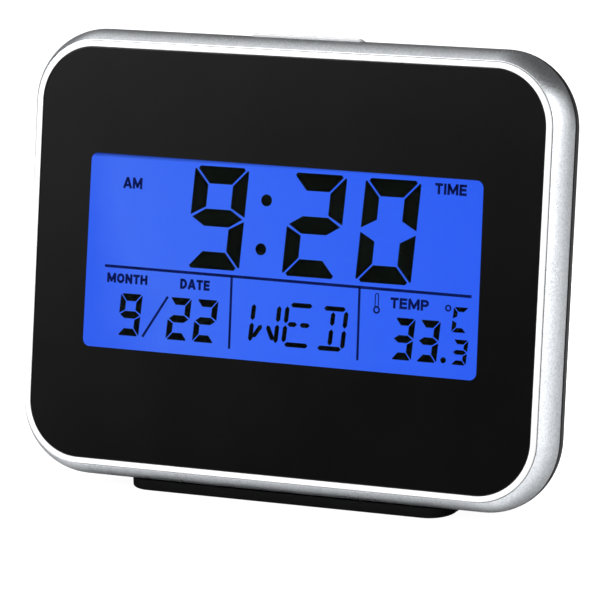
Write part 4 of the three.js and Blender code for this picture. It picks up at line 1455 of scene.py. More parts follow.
@dataclass
class RearCase(Assembly):
    """Black rear case with its grille, key holes, slots, screw recesses and battery bay."""

    rim_front: float = 6.3
    wall: float = 2.0
    steps: int = 10
    mouth: float = 0.35
    mouth_steps: int = 4
    overlap: float = 0.5
    screw_hole: float = 2.8
    screw_seat: float = 18.1
    screw_way: float = 1.4
    screw_overlap: float = 0.2
    tube_front: float = 16.1
    tube_wall: float = 1.2
    grille_radius: float = 11.0
    grille_slot: float = 1.6
    grille_pitch: float = 3.4
    slot_round: float = 0.999
    rib: Point2 = (14.3, 15.3)
    rib_height: float = 3.5
    key_hole: float = 4.3
    alarm_place: Point2 = (32.75, -18.548)
    alarm_slot: Point2 = (4.2, 9.6)
    alarm_corner: float = 0.5
    bay: Point2 = (49.7, 22.5)
    bay_corner: float = 0.5
    bay_floor: float = 14.2
    tray: Point2 = (54.1, 26.9)
    tray_front: float = 12.6
    tray_foot: float = -31.6
    tray_corner: float = 0.6
    door: Point2 = (52.1, 24.9)
    door_seat: float = 25.0
    door_corner: float = 1.8
    bar: Point2 = (24.9, 20.0)
    bar_back: float = 18.3
    bar_corner: float = 0.3

    def opening(self, tool: Shell, outline: Outline, floor: float) -> None:
        """Adds an opening through the back with a rounded mouth.

        Args:
            tool: What it is added to.
            outline: Its outline.
            floor: Depth at which it ends.
        """
        back, mouth = self.shape.back_depth, self.mouth
        lip = arc((-mouth, back - mouth), mouth, 0, 90, self.mouth_steps)
        tool.stack(outline, [(0, floor), *lip, (-mouth, back + mouth)])

    def skin(self) -> Piece:
        """The hollow case, before its openings.

        Returns:
            The case.
        """
        shape = self.shape
        start = math.degrees(math.asin((self.rim_front - shape.side_depth) / shape.rim_radius))
        outside = Shell().loft(shape.rear_rings(0, self.steps, start))
        case = outside.make("rear_case_shell", self.body.place, [CASE.material])
        ahead = shape.ring(shape.crest - self.wall, self.rim_front - PAST)
        hollow = Shell().loft([ahead, *shape.rear_rings(-self.wall, self.steps, start)])
        return combine(case, hollow, Combine.CUT)

    def inside(self) -> Shell:
        """The battery tray, the screw tubes and the speaker's rib.

        Returns:
            Their shell.
        """
        shell = Shell()
        inner_back = self.shape.back_depth - self.wall / 2
        tray = rounded(self.tray, self.tray_corner, 4, (0, self.shape.bay_v))
        shell.prism([(u, max(v, self.tray_foot)) for u, v in tray], self.tray_front, inner_back)
        tube = rod(self.screw_hole + self.tube_wall, self.tube_front, inner_back)
        for u, v in four_places(*self.shape.screw_place):
            shell.turned(tube, (u, 0, v))
        low, high = self.rib
        front = self.shape.back_depth - self.wall - self.rib_height
        rib = [(low, front), (high, front), (high, inner_back), (low, inner_back)]
        return shell.turned(rib, (0, 0, self.shape.speaker_v), looped=True)

    def mouths(self) -> Shell:
        """The openings through the back.

        Returns:
            Their shell.
        """
        shell = Shell()
        through = self.shape.back_depth - self.wall - self.overlap
        rows = int(self.grille_radius // self.grille_pitch)
        for rise in (row * self.grille_pitch for row in range(-rows, rows + 1)):
            slot = 2 * math.sqrt(self.grille_radius**2 - rise**2), self.grille_slot
            corner = self.grille_slot / 2 * self.slot_round
            self.opening(shell, rounded(slot, corner, 8, (0, self.shape.speaker_v + rise)), through)
        for u, v in four_places(*self.shape.key_place):
            self.opening(shell, moved(disc(self.key_hole, 48), u, v + self.shape.speaker_v), through)
        for place in four_places(*self.shape.screw_place):
            self.opening(shell, moved(disc(self.screw_hole, 40), *place), self.screw_seat)
        self.opening(shell, rounded(self.alarm_slot, self.alarm_corner, 6, self.alarm_place), through)
        self.opening(shell, rounded(self.door, self.door_corner, 8, (0, self.shape.bay_v)), self.door_seat)
        return shell

    def rooms(self) -> Shell:
        """The battery bay, the talk bar's notch and the ways of the screws.

        Returns:
            Their shell.
        """
        shell = Shell()
        bay = rounded(self.bay, self.bay_corner, 4, (0, self.shape.bay_v))
        shell.prism(bay, self.bay_floor, self.door_seat + self.overlap)
        notch = rounded(self.bar, self.bar_corner, 4, (0, self.shape.bar_floor + self.bar[1] / 2))
        shell.prism(notch, self.rim_front - PAST, self.bar_back)
        way = rod(self.screw_way, self.tube_front - PAST, self.screw_seat + self.screw_overlap)
        for u, v in four_places(*self.shape.screw_place):
            shell.turned(way, (u, 0, v), steps=24)
        return shell

    def build(self) -> None:
        """Builds and dresses the rear case."""
        case = self.skin()
        combine(case, self.inside(), Combine.ADD)
        combine(case, self.mouths(), Combine.CUT)
        combine(case, self.rooms(), Combine.CUT)
        even_normals(case, BLUNT_SHARP)
        fit(case, "case", "black_case", "rear_case")


@dataclass(frozen=True)
class Block:
    """A block on the underside of the talk bar."""

    width: float
    front: float
    back: float
    foot: float
    head: float


@dataclass
class TalkBar(Assembly):
    """Talk bar that follows the top of the case and stands a little proud of it."""

    half_width: float = 12.15
    front: float = 6.3
    back: float = 18.0
    proud: float = 0.6
    corner: float = 0.4
    corner_in: float = 0.12
    corner_drop: float = 0.12
    end_round: float = 0.36
    end_steps: int = 6
    top_steps: int = 16
    stem: Block = Block(4.0, 13.35, 16.85, 32.35, 41.0)
    ears: Block = Block(27.3, 8.94, 10.94, 37.268, 41.4)
    block_corner: float = 0.2

    def section(self, inset: float) -> list[Point2]:
        """Outline in (d, v).

        Args:
            inset: How far it is shrunk.

        Returns:
            Its points, anticlockwise.
        """
        front, back, corner = self.front, self.back, self.corner
        level = self.shape.half_height + self.proud
        fore, rear = level + self.shape.rear_reach(front), level + self.shape.rear_reach(back - corner)
        points = [(front, self.shape.bar_floor), (back, self.shape.bar_floor)]
        points += [(back, rear - corner), (back - self.corner_in, rear - self.corner_drop)]
        for i in range(self.top_steps + 1):
            d = back - corner + (front - back + 2 * corner) * i / self.top_steps
            points.append((d, level + self.shape.rear_reach(d)))
        points += [(front + self.corner_in, fore - self.corner_drop), (front, fore - corner)]
        return shrunk(points, inset)

    def build(self) -> None:
        """Builds and dresses the talk bar."""
        edge = self.end_round
        rounds = arc((self.half_width - edge, 0), edge, 90, 0, self.end_steps)
        right = [(reach, edge - drop) for reach, drop in rounds]
        left = [(-reach, inset) for reach, inset in reversed(right)]
        shell = Shell().loft([[(u, d, v) for d, v in self.section(inset)] for u, inset in left + right])
        for block in (self.stem, self.ears):
            size, middle = (block.width, block.head - block.foot), (block.head + block.foot) / 2
            shell.prism(rounded(size, self.block_corner, 3, (0, middle)), block.front, block.back)
        bar = shell.make("talk_bar_cap", self.body.place, [PALE_SILVER.material], BLUNT_SHARP)
        even_normals(bar, BLUNT_SHARP)
        fit(bar, "talk_bar", "talk_bar", "talk_bar")


class KeyMark(Enum):
    """Raised mark on a rear key, as an outline inside a unit circle."""

    BAR = ((-0.5, -0.12), (0.5, -0.12), (0.5, 0.12), (-0.5, 0.12))
    DOT = tuple(disc(0.3, 24))
    RISE = ((-0.46, -0.3), (0.46, -0.3), (0.0, 0.42))
    FALL = ((-0.46, 0.3), (0.0, -0.42), (0.46, 0.3))


@dataclass
class RearKeys(Assembly):
    """Four round rear keys with a dished top and a raised mark."""

    marks: tuple[KeyMark, ...] = (KeyMark.BAR, KeyMark.DOT, KeyMark.RISE, KeyMark.FALL)
    radius: float = 4.0
    top: float = 28.1
    edge_round: float = 0.8
    rim: float = 0.3
    dish: float = 0.3
    dish_steps: int = 6
    flange_radius: float = 5.0
    flange_depths: Point2 = (23.6, 24.6)
    stem_radius: float = 2.2
    stem_front: float = 16.9
    mark_size: float = 2.4
    mark_rise: float = 0.22
    mark_root: float = 0.1
    mark_edge: float = 0.06

    def profile(self) -> list[Point2]:
        """Half section of a key.

        Returns:
            Its (radius, depth) pairs.
        """
        edge = self.edge_round
        front, back = self.flange_depths
        shoulder = arc((self.radius - edge, self.top - edge), edge, 0, 90, 6)
        reach = shoulder[-1][0] - self.rim
        shares = [1 - i / self.dish_steps for i in range(self.dish_steps + 1)]
        return [
            *rod(self.stem_radius, self.stem_front, front)[:3],
            (self.flange_radius, front),
            (self.flange_radius, back),
            (self.radius, back),
            *shoulder,
            *((reach * share, self.top - self.dish * (1 - share**2)) for share in shares),
        ]

    def build(self) -> None:
        """Builds and dresses the keys."""
        profile, floor = self.profile(), self.top - self.dish
        looks = [KEY.material, KEY_MARK.material]
        for name, mark, (u, v) in zip(KEYS, self.marks, four_places(*self.shape.key_place)):
            v += self.shape.speaker_v
            shell = Shell().turned(profile, (u, 0, v))
            plain = len(shell.faces)
            outline = [(u - x * self.mark_size, v + y * self.mark_size) for x, y in reversed(mark.value)]
            shell.prism(outline, floor - self.mark_root, floor + self.mark_rise, self.mark_edge)
            shell.finishes[plain:] = [1] * (len(shell.faces) - plain)
            key = shell.make(f"{name}_key_cap", self.body.place, looks, BLUNT_SHARP)
            fit(key, f"{name}_key", "key_plastic", f"{name}_key")


@dataclass
class AlarmSlider(Assembly):
    """Alarm slider with a ridged knob, whose ends are places across it and how far its top drops there."""

    place: Point2 = (32.75, -20.548)
    knob: Point2 = (3.6, 5.0)
    knob_foot: float = 24.2
    flange: Point2 = (6.6, 8.0)
    flange_depths: Point2 = (23.6, 24.6)
    flange_corner: float = 0.5
    stem_depths: Point2 = (18.6, 24.0)
    stem_corner: float = 0.3
    top: float = 28.1
    ridges: int = 4
    ridge_depth: float = 0.35
    ridge_steps: int = 12
    edge_drop: float = 0.35
    edge_start: float = 0.93
    ends: tuple[Point2, ...] = ((-1.8, 0.25), (-1.62, 0.06), (-1.44, 0), (1.44, 0), (1.62, 0.06), (1.8, 0.25))

    def waves(self) -> list[Point2]:
        """Ridged line along the knob's top.

        Returns:
            Its (v, depth) pairs.
        """
        steps = self.ridge_steps * self.ridges
        found = []
        for share in (i / steps for i in range(steps + 1)):
            drop = self.ridge_depth * (0.5 - 0.5 * math.cos(2 * math.pi * self.ridges * share))
            past = max(0.0, abs(2 * share - 1) - self.edge_start) / (1 - self.edge_start)
            found.append((self.knob[1] * (share - 0.5), self.top - drop - self.edge_drop * past**2))
        return found

    def build(self) -> None:
        """Builds and dresses the slider."""
        shell = Shell()
        u, rest = self.place
        width, height = self.knob
        shell.prism(rounded(self.flange, self.flange_corner, 4, self.place), *self.flange_depths)
        shell.prism(rounded((width, width), self.stem_corner, 4, self.place), *self.stem_depths)
        section = [*self.waves(), (height / 2, self.knob_foot), (-height / 2, self.knob_foot)]
        rings = []
        for reach, drop in self.ends:
            rings.append([(u + reach, min(d, self.top - drop), v + rest) for v, d in section])
        slider = shell.loft(rings).make("alarm_slider_knob", self.body.place, [SLIDER.material], BLUNT_SHARP)
        fit(slider, "alarm_slider", "slider_plastic", "alarm_slider")


@dataclass(frozen=True)
class Cell:
    """A dry cell: a rolled sleeve, a dished foot and head, and a nub.

    A dish is how far from the side its floor starts, and how deep it is.
    """

    radius: float = 5.25
    length: float = 44.5
    edge: float = 0.5
    lip: float = 0.9
    lip_drop: float = 0.05
    foot_dish: Point2 = (1.1, 0.25)
    head_dish: Point2 = (1.0, 0.35)
    nub_radius: float = 1.9
    nub_length: float = 1.0
    nub_round: float = 0.3
    nub_flare: float = 0.35
    bare_length: float = 0.2
    bare_inset: float = 0.6

    def profile(self) -> list[Point2]:
        """Half section from the foot to the nub.

        Returns:
            Its (radius, distance along the axis) pairs.
        """
        r, edge, small = self.radius, self.edge, self.nub_round
        head = self.length - self.nub_length
        inset, dip = self.foot_dish
        foot = [(0, dip), (r - inset, dip), (r - self.lip, 0), *arc((r - edge, edge), edge, 270, 360, 4)]
        inset, dip = self.head_dish
        upper = arc((r - edge, head - edge), edge, 0, 90, 4)
        upper += [(r - self.lip, head - self.lip_drop), (r - inset, head - dip)]
        nub = [(self.nub_radius + self.nub_flare, head - dip), (self.nub_radius, head)]
        nub += arc((self.nub_radius - small, self.length - small), small, 0, 90, 4)
        return [*foot, *upper, *nub, (0, self.length)]


@dataclass
class BatteryBay(Assembly):
    """Battery door, two cells and their contacts."""

    offset: float = 5.5
    centre: float = 19.75
    door: Point2 = (51.5, 24.3)
    door_depths: Point2 = (25.3, 26.9)
    door_corner: float = 1.5
    door_edge: float = 0.4
    grip: Point3 = (12.0, 4.0, 0.6)
    grip_v: float = -10.098
    grip_corner: float = 1.5
    grip_slope: float = 0.35
    grip_mouth: float = 0.02
    grip_flare: float = 0.1
    ribs: int = 5
    rib_width: float = 0.8
    rib_short: float = 1.2
    rib_corner: float = 0.38
    rib_root: float = 0.3
    rib_below: float = 0.12
    rib_edge: float = 0.15
    cell: Cell = Cell()
    wall: float = 24.55
    contact: Point2 = (0.5, 8.0)
    contact_corner: float = 0.8
    tab: Point2 = (3.0, 12.1)
    tab_corner: float = 0.1
    seat: float = 0.3
    spring: Point3 = (3.0, 2.0, 3.0)
    wire: float = 0.28
    turns: float = 3.5
    turn_steps: int = 24

    @property
    def heights(self) -> Point2:
        """Heights of the upper and the lower cell on the panel."""
        return self.shape.bay_v + self.offset, self.shape.bay_v - self.offset

    def build_door(self) -> None:
        """Builds the battery door with its ribbed grip."""
        front, back = self.door_depths
        edge = self.door_edge
        outline = rounded(self.door, self.door_corner, 8, (0, self.shape.bay_v))
        levels = [(0, front), *arc((edge, back - edge), edge, 180, 90, 5)]
        door = Shell().stack(outline, levels).make("battery_door_lid", self.body.place, [CASE.material])
        width, height, depth = self.grip
        grip = rounded((width, height), self.grip_corner, 8, (0, self.grip_v))
        hollow = [(self.grip_slope, back - depth), (0, back - self.grip_mouth), (-self.grip_flare, back + PAST)]
        combine(door, Shell().stack(grip, hollow), Combine.CUT)
        rib = rounded((self.rib_width, height - self.rib_short), self.rib_corner, 6)
        low, high = back - depth - self.rib_root, back - self.rib_below
        ribs = Shell()
        for i in range(self.ribs):
            u = (i - (self.ribs - 1) / 2) * width / (self.ribs + 1)
            ribs.prism(moved(rib, u, self.grip_v), low, high, self.rib_edge)
        combine(door, ribs, Combine.ADD)
        even_normals(door, BLUNT_SHARP)
        fit(door, "battery_door", "black_case", "battery_door")

    def build_cell(self, name: str, toward: int, v: float, sleeve: Finish) -> None:
        """Builds one cell.

        Args:
            name: The node that it stands for.
            toward: 1 if its nub points right, and -1 if left.
            v: Its height on the panel.
            sleeve: Finish of its sleeve.
        """
        cell = self.cell
        tip = toward * (self.wall - self.contact[0] - self.seat)
        axis = Axis.RIGHT if toward > 0 else Axis.LEFT
        shell = Shell().turned(cell.profile(), (tip - toward * cell.length, self.centre, v), axis)
        head = tip - toward * (cell.nub_length + cell.bare_length)
        foot = tip - toward * (cell.length - cell.bare_length)
        for i, face in enumerate(shell.faces):
            spots = [shell.points[k] for k in face]
            along = sum(spot[0] for spot in spots) / len(spots)
            out = min(math.hypot(spot[1] - self.centre, spot[2] - v) for spot in spots)
            beyond = (along - head) * toward > 0 or (foot - along) * toward > 0
            shell.finishes[i] = int(beyond and out < cell.radius - cell.bare_inset)
        piece = shell.make(f"{name}_body", self.body.place, [sleeve.material, STEEL.material])
        fit(piece, "case", "cell_sleeve", name)

    def coil(self, shell: Shell, root: float, toward: int, v: float) -> None:
        """Adds a cone-shaped coil spring that stands on a contact.

        Args:
            shell: What it is added to.
            root: Where it starts.
            toward: 1 if it points right, and -1 if left.
            v: Its height on the panel.
        """
        wide, narrow, length = self.spring
        steps = int(self.turns * self.turn_steps)
        path = []
        for share in (i / steps for i in range(steps + 1)):
            angle = 2 * math.pi * self.turns * share
            radius = wide + (narrow - wide) * share - self.wire
            along = root + toward * (self.wire + (length - 2 * self.wire) * share)
            path.append(Vector((along, self.centre + radius * math.cos(angle), v + radius * math.sin(angle))))
        shell.tube(path, self.wire)

    def leaf(self, shell: Shell, u: float, v: float, height: float) -> None:
        """Adds a contact leaf with rounded corners.

        Args:
            shell: What it is added to.
            u: Its place across.
            v: Its height on the panel.
            height: Its own height.
        """
        thickness, width = self.contact
        outline = rounded((width, height), self.contact_corner, 6)
        sides = (u - thickness / 2, u + thickness / 2)
        shell.loft([[(side, self.centre + d, v + z) for d, z in outline] for side in sides])

    def build_contacts(self) -> None:
        """Builds the three contacts."""
        thickness, height = self.contact
        middle = self.wall - thickness / 2
        upper, lower = self.heights
        tab = rounded((thickness, self.tab[0]), self.tab_corner, 2)
        shells = {name: Shell() for name in ("plus_contact", "minus_contact", "bridge_contact")}
        for name, v in (("plus_contact", upper), ("minus_contact", lower)):
            self.leaf(shells[name], -middle, v, height)
            shells[name].prism(moved(tab, -middle, v), self.tab[1], self.centre)
        self.coil(shells["minus_contact"], thickness / 2 - middle, 1, lower)
        self.leaf(shells["bridge_contact"], middle, self.shape.bay_v, height + 2 * self.offset)
        self.coil(shells["bridge_contact"], middle - thickness / 2, -1, upper)
        for name, shell in shells.items():
            contact = shell.make(f"{name}_leaf", self.body.place, [STEEL.material], BLUNT_SHARP)
            fit(contact, "case", "bright_steel", name)

    def build(self) -> None:
        """Builds and dresses the door, the cells and the contacts."""
        upper, lower = self.heights
        self.build_cell("upper_cell", -1, upper, SLEEVE_LEFT)
        self.build_cell("lower_cell", 1, lower, SLEEVE_RIGHT)
        self.build_door()
        self.build_contacts()


@dataclass(frozen=True)
class ScrewSize:
    """Sizes of a cross-head screw."""

    head: float
    head_height: float
    shank: float
    length: float


@dataclass
class Screws(Assembly):
    """Cross-head screws of the case and the foot.

    The dome's base is a share of the head's height, the cross's reach a share of its radius, and the cross's floor a
    share of its mouth.
    """

    case_screw: ScrewSize = ScrewSize(2.4, 1.8, 1.25, 10.0)
    case_underside: float = 18.4
    foot_screw: ScrewSize = ScrewSize(2.4, 1.6, 1.25, 7.0)
    foot_place: Point2 = (20.0, -0.8088)
    foot_underside: float = 2.4
    thread: float = 0.3
    pitch: float = 0.8
    neck: float = 0.6
    chamfer: Point2 = (0.1, 0.12)
    dome_base: float = 0.35
    dome_steps: int = 8
    slot: float = 0.7
    slot_depth: float = 0.8
    slot_reach: float = 0.62
    slot_floor: float = 0.6
    steps: int = 40

    def profile(self, size: ScrewSize) -> list[Point2]:
        """Half section of a screw, whose underside lies at 0.

        Args:
            size: Its sizes.

        Returns:
            Its (radius, distance along the axis) pairs.
        """
        core = size.shank - self.thread
        points: list[Point2] = [(0, -size.length)]
        for i in range(int((size.length - size.shank - self.neck) / self.pitch)):
            start = -size.length + size.shank + i * self.pitch
            points += [(core, start), (size.shank, start + self.pitch / 2)]
        across, along = self.chamfer
        points += [(core, -self.neck), (size.shank, 0), (size.head - across, 0), (size.head, along)]
        base = size.head_height * self.dome_base
        dome = arc((0, 0), 1, 0, 90, self.dome_steps)[:-1]
        points += [(size.head * x, base + (size.head_height - base) * y) for x, y in dome]
        return [*points, (0, size.head_height)]

    def build_one(self, name: str, size: ScrewSize, place: Matrix) -> None:
        """Builds one screw whose head points along the depth of its place.

        Args:
            name: The node that it stands for.
            size: Its sizes.
            place: Where the underside of its head lies.
        """
        shell = Shell().turned(self.profile(size), steps=self.steps)
        screw = shell.make(f"{name}_cross", place, [SCREW_STEEL.material], BLUNT_SHARP)
        half, reach = self.slot / 2, size.head * self.slot_reach
        cross = []
        for quarter in range(4):
            turn = Matrix.Rotation(quarter * math.pi / 2, 2)
            cross += [tuple(turn @ Vector(point)) for point in ((half, half), (half, reach), (-half, reach))]
        floor = [(x * self.slot_floor, y * self.slot_floor) for x, y in cross]
        rings = [at_depth(floor, size.head_height - self.slot_depth)]
        rings += [at_depth(cross, size.head_height), at_depth(cross, size.head_height + PAST)]
        combine(screw, Shell().loft(rings), Combine.CUT)
        smooth(screw, BLUNT_SHARP)
        fit(screw, "case", "dark_steel", name)

    def build(self) -> None:
        """Builds and dresses the screws."""
        for i, (u, v) in enumerate(four_places(*self.shape.screw_place), 1):
            place = self.body.place @ Matrix.Translation(Vector((u, self.case_underside, v)) * MM)
            self.build_one(f"case_screw_{i}", self.case_screw, place)
        reach, y = self.foot_place
        for i, x in enumerate((-reach, reach), 1):
            place = Matrix.Translation(Vector((x, y, self.foot_underside)) * MM) @ Axis.DOWN.value
            self.build_one(f"foot_screw_{i}", self.foot_screw, place)


@dataclass
class Foot(Assembly):
    """Black wedge foot under the body, with its rubber pads."""

    front: float = -16.8088
    depth: float = 32.0
    width: float = 72.0
    corner: float = 5.0
    least_corner: float = 0.5
    low: float = 0.3
    ridge: float = 22.5
    ridge_height: float = 8.5
    tail_height: float = 3.5
    edge_round: float = 0.9
    low_round: float = 0.35
    round_steps: int = 5
    corner_steps: int = 16
    side_steps: int = 10
    rear_steps: int = 8
    wall: float = 2.0
    gap: float = 0.3
    post_span: Point2 = (-3.0, 12.0)
    pad_radius: float = 3.5
    pad_thickness: float = 1.0
    pad_round: float = 0.3
    pad_inset: float = 6.0
    pad_slip: float = 0.3
    pad_wall: float = 1.5
    screw_x: float = 20.0
    screw_hole: float = 2.8
    screw_seat: float = 2.7
    screw_way: float = 1.4
    screw_wall: float = 2.0

    @property
    def middle(self) -> float:
        """Middle of the foot from front to back."""
        return self.front + self.depth / 2

    def plan(self, inset: float) -> list[Point2]:
        """Plan outline in (x, y), shrunk by an inset."""
        size = self.width - 2 * inset, self.depth - 2 * inset
        return rounded(size, max(self.corner - inset, self.least_corner), self.corner_steps, (0, self.middle))

    def top(self, y: float) -> float:
        """Height of the top at a place from front to back."""
        share = max(0.0, (y - self.front - self.ridge) / (self.depth - self.ridge))
        return self.ridge_height - share * (self.ridge_height - self.tail_height)

    def wedge(self, inset: float = 0.0, drop: float = 0.0) -> Shell:
        """Wedge with rounded edges.

        Args:
            inset: How far it is shrunk.
            drop: How far it is lowered.

        Returns:
            Its shell.
        """
        shell = Shell()
        rows = []
        low, edge = self.low_round, self.edge_round
        for across, rise in arc((low, low), low, 270, 180, self.round_steps):
            height = self.low - drop + rise
            rows.append(shell.ring((x, y, height) for x, y in self.plan(inset + across)))
        for across, fall in arc((edge, -edge), edge, 180, 90, self.round_steps):
            rows.append(shell.ring((x, y, self.top(y) - drop + fall) for x, y in self.plan(inset + across)))
        for near, far in zip(rows, rows[1:]):
            shell.bridge(near, far)
        shell.face(rows[0])
        upper = rows[-1]
        count, half = len(upper), len(upper) // 2
        right = [upper[(half + half // 2 + i) % count] for i in range(half)]
        left = [upper[(half + half // 2 - 1 - i) % count] for i in range(half)]
        for i in range(half - 1):
            shell.face((left[i], right[i], right[i + 1], left[i + 1]))
        return shell

    def pad_places(self) -> list[Point2]:
        """Places of the four pads."""
        return moved(four_places(self.width / 2 - self.pad_inset, self.depth / 2 - self.pad_inset), 0, self.middle)

    def body_hull(self, offset: float) -> Shell:
        """Outside of the body in the clock's frame.

        Args:
            offset: How far it is grown.

        Returns:
            Its shell.
        """
        rings = self.shape.side_rings(offset, self.side_steps) + self.shape.rear_rings(offset, self.rear_steps)
        place = self.body.place
        return Shell().loft([[tuple(place @ (Vector(point) * MM) / MM) for point in ring] for ring in rings])

    def room(self) -> Piece:
        """Room under the foot, clear of its screws and pads.

        Returns:
            The room, as a tool.
        """
        room = self.wedge(self.wall, self.wall).make("room", Matrix.Identity(4), [FOOT.material])
        combine(room, self.body_hull(self.gap + self.wall), Combine.CUT)
        posts = Shell()
        for x, y in self.pad_places():
            posts.turned(rod(self.pad_radius + self.pad_wall, *self.post_span), (x, y, 0), Axis.UP)
        for x in (-self.screw_x, self.screw_x):
            posts.turned(rod(self.screw_hole + self.screw_wall, *self.post_span), (x, self.middle, 0), Axis.UP)
        return combine(room, posts, Combine.CUT)

    def ways(self) -> Shell:
        """Seats of the pads and ways of the screws.

        Returns:
            Their shell.
        """
        shell = Shell()
        seat = rod(self.pad_radius + self.pad_slip, -PAST, self.pad_thickness + self.pad_slip)
        for x, y in self.pad_places():
            shell.turned(seat, (x, y, 0), Axis.UP)
        hole = rod(self.screw_hole, -PAST, self.screw_seat)[:3]
        way = rod(self.screw_way, self.screw_seat, self.post_span[1])[1:]
        for x in (-self.screw_x, self.screw_x):
            shell.turned(hole + way, (x, self.middle, 0), Axis.UP)
        return shell

    def build_pads(self) -> None:
        """Builds the rubber pads."""
        radius, small = self.pad_radius, self.pad_round
        edge = arc((radius - small, small), small, 270, 360, 5)
        profile = [(0, 0), *edge, (radius, self.pad_thickness), (0, self.pad_thickness)]
        for i, (x, y) in enumerate(self.pad_places(), 1):
            shell = Shell().turned(profile, (x, y, 0), Axis.UP)
            pad = shell.make(f"rubber_pad_{i}_disc", Matrix.Identity(4), [RUBBER.material])
            fit(pad, "case", "rubber", f"rubber_pad_{i}")

    def build(self) -> None:
        """Builds and dresses the foot and its pads."""
        foot = self.wedge().make("foot_wedge", Matrix.Identity(4), [FOOT.material])
        for tool in (self.body_hull(self.gap), self.room(), self.ways()):
            combine(foot, tool, Combine.CUT)
        even_normals(foot, BLUNT_SHARP)
        fit(foot, "case", "black_foot", "foot")
        self.build_pads()


@dataclass
class Speaker(Assembly):
    """Speaker basket and cone behind the grille."""

    radius: float = 14.0
    rim_width: float = 1.4
    rim_front: float = 23.3
    rim_edge: float = 0.15
    back: float = 24.6
    floor: float = 20.3
    floor_radius: float = 7.5
    sheet: float = 0.8
    hole: float = 3.0
    cone_sheet: float = 0.5
    seat: float = 0.3
    swell_inset: float = 1.6
    swell_drop: float = 0.75
    swell: Point2 = (0.8, 0.7)
    swell_steps: int = 8
    dome: Point2 = (4.0, 1.0)
    dome_steps: int = 6
    steps: int = 72

    def basket_profile(self) -> list[Point2]:
        """Half section of the basket.

        Returns:
            Its (radius, depth) pairs, as a loop.
        """
        rim, floor_back = self.radius - self.rim_width, self.floor + self.sheet
        return [
            (self.hole, self.floor),
            (self.floor_radius, self.floor),
            (rim - self.sheet, self.rim_front),
            (self.radius, self.rim_front),
            (self.radius, self.back - self.rim_edge),
            (self.radius - self.rim_edge, self.back),
            (rim, self.back),
            (self.floor_radius - self.sheet, floor_back),
            (self.hole, floor_back),
        ]

    def cone_profile(self) -> list[Point2]:
        """Half section of the cone, with its swelling edge and its dome.

        Returns:
            Its (radius, depth) pairs.
        """
        rim, inner = self.radius - self.rim_width, self.floor_radius - self.sheet
        front = self.floor + self.sheet + self.seat
        slope = (self.back - self.floor - self.sheet) / (rim - inner)
        edge = rim - (self.seat + self.cone_sheet) / slope
        top = front + self.cone_sheet
        half, rise = self.swell
        swell = [(half * x, rise * y) for x, y in arc((0, 0), 1, 0, 180, self.swell_steps)]
        reach, height = self.dome
        dome = [(reach * x, top + height * y) for x, y in arc((0, 0), 1, 0, 90, self.dome_steps)[:-1]]
        return [
            (0, front),
            (inner, front),
            (edge, self.back - self.cone_sheet),
            (edge, self.back),
            *moved(swell, edge - self.swell_inset, self.back - self.swell_drop),
            (inner, top),
            *dome,
            (0, top + height),
        ]

    def build(self) -> None:
        """Builds and dresses the basket and the cone."""
        place, centre = self.body.place, (0, 0, self.shape.speaker_v)
        shell = Shell().turned(self.basket_profile(), centre, steps=self.steps, looped=True)
        basket = shell.make("speaker_basket_pressing", place, [BASKET.material])
        fit(basket, "case", "basket_steel", "speaker_basket")
        shell = Shell().turned(self.cone_profile(), centre, steps=self.steps)
        cone = shell.make("speaker_cone_paper", place, [CONE.material])
        fit(cone, "case", "speaker_cone", "speaker_cone")


@dataclass
class InnerWorks:
    """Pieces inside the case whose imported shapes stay, and their finishes."""

    finishes: dict[str, Finish] = field(
        default_factory=lambda: {
            "display_holder": WHITE,
            "diffuser_film": FILM,
            "light_guide": GUIDE,
            "reflector_film": FILM,
            "light_bar": LIGHTS,
            "connector_strip": ELASTOMER,
            "circuit_board": BOARD,
            "voice_chip": RESIN,
            "quartz_crystal": STEEL,
            "temperature_sensor": RESIN,
            "alarm_lever": SWITCH,
            "alarm_switch": STEEL,
            "speaker_magnet": MAGNET,
            "speaker_lead": LEAD,
            **{f"board_screw_{i}": STEEL for i in range(1, 5)},
            **{f"{name}_switch": SWITCH for name in (*KEYS, "talk")},
            **{f"{name}_plunger": PLUNGER for name in (*KEYS, "talk")},
        }
    )

    def dress(self) -> None:
        """Gives each piece its finish."""
        for name, finish in self.finishes.items():
            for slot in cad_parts[name].material_slots:
                slot.material = finish.material
            LOG.info("%s: dressed as %s", name, finish.name)


@dataclass(frozen=True)
class Softbox:
    """A large soft light that faces the clock."""

    name: str
    azimuth: float
    elevation: float
    distance: float
    size: Point2
    power: float
    mirrored: bool = True


@dataclass(frozen=True)
class Flag:
    """A dark card in the room, which fades out over a span of angles round its middle."""

    azimuth: float
    elevation: float
    span: Point2
    light: float


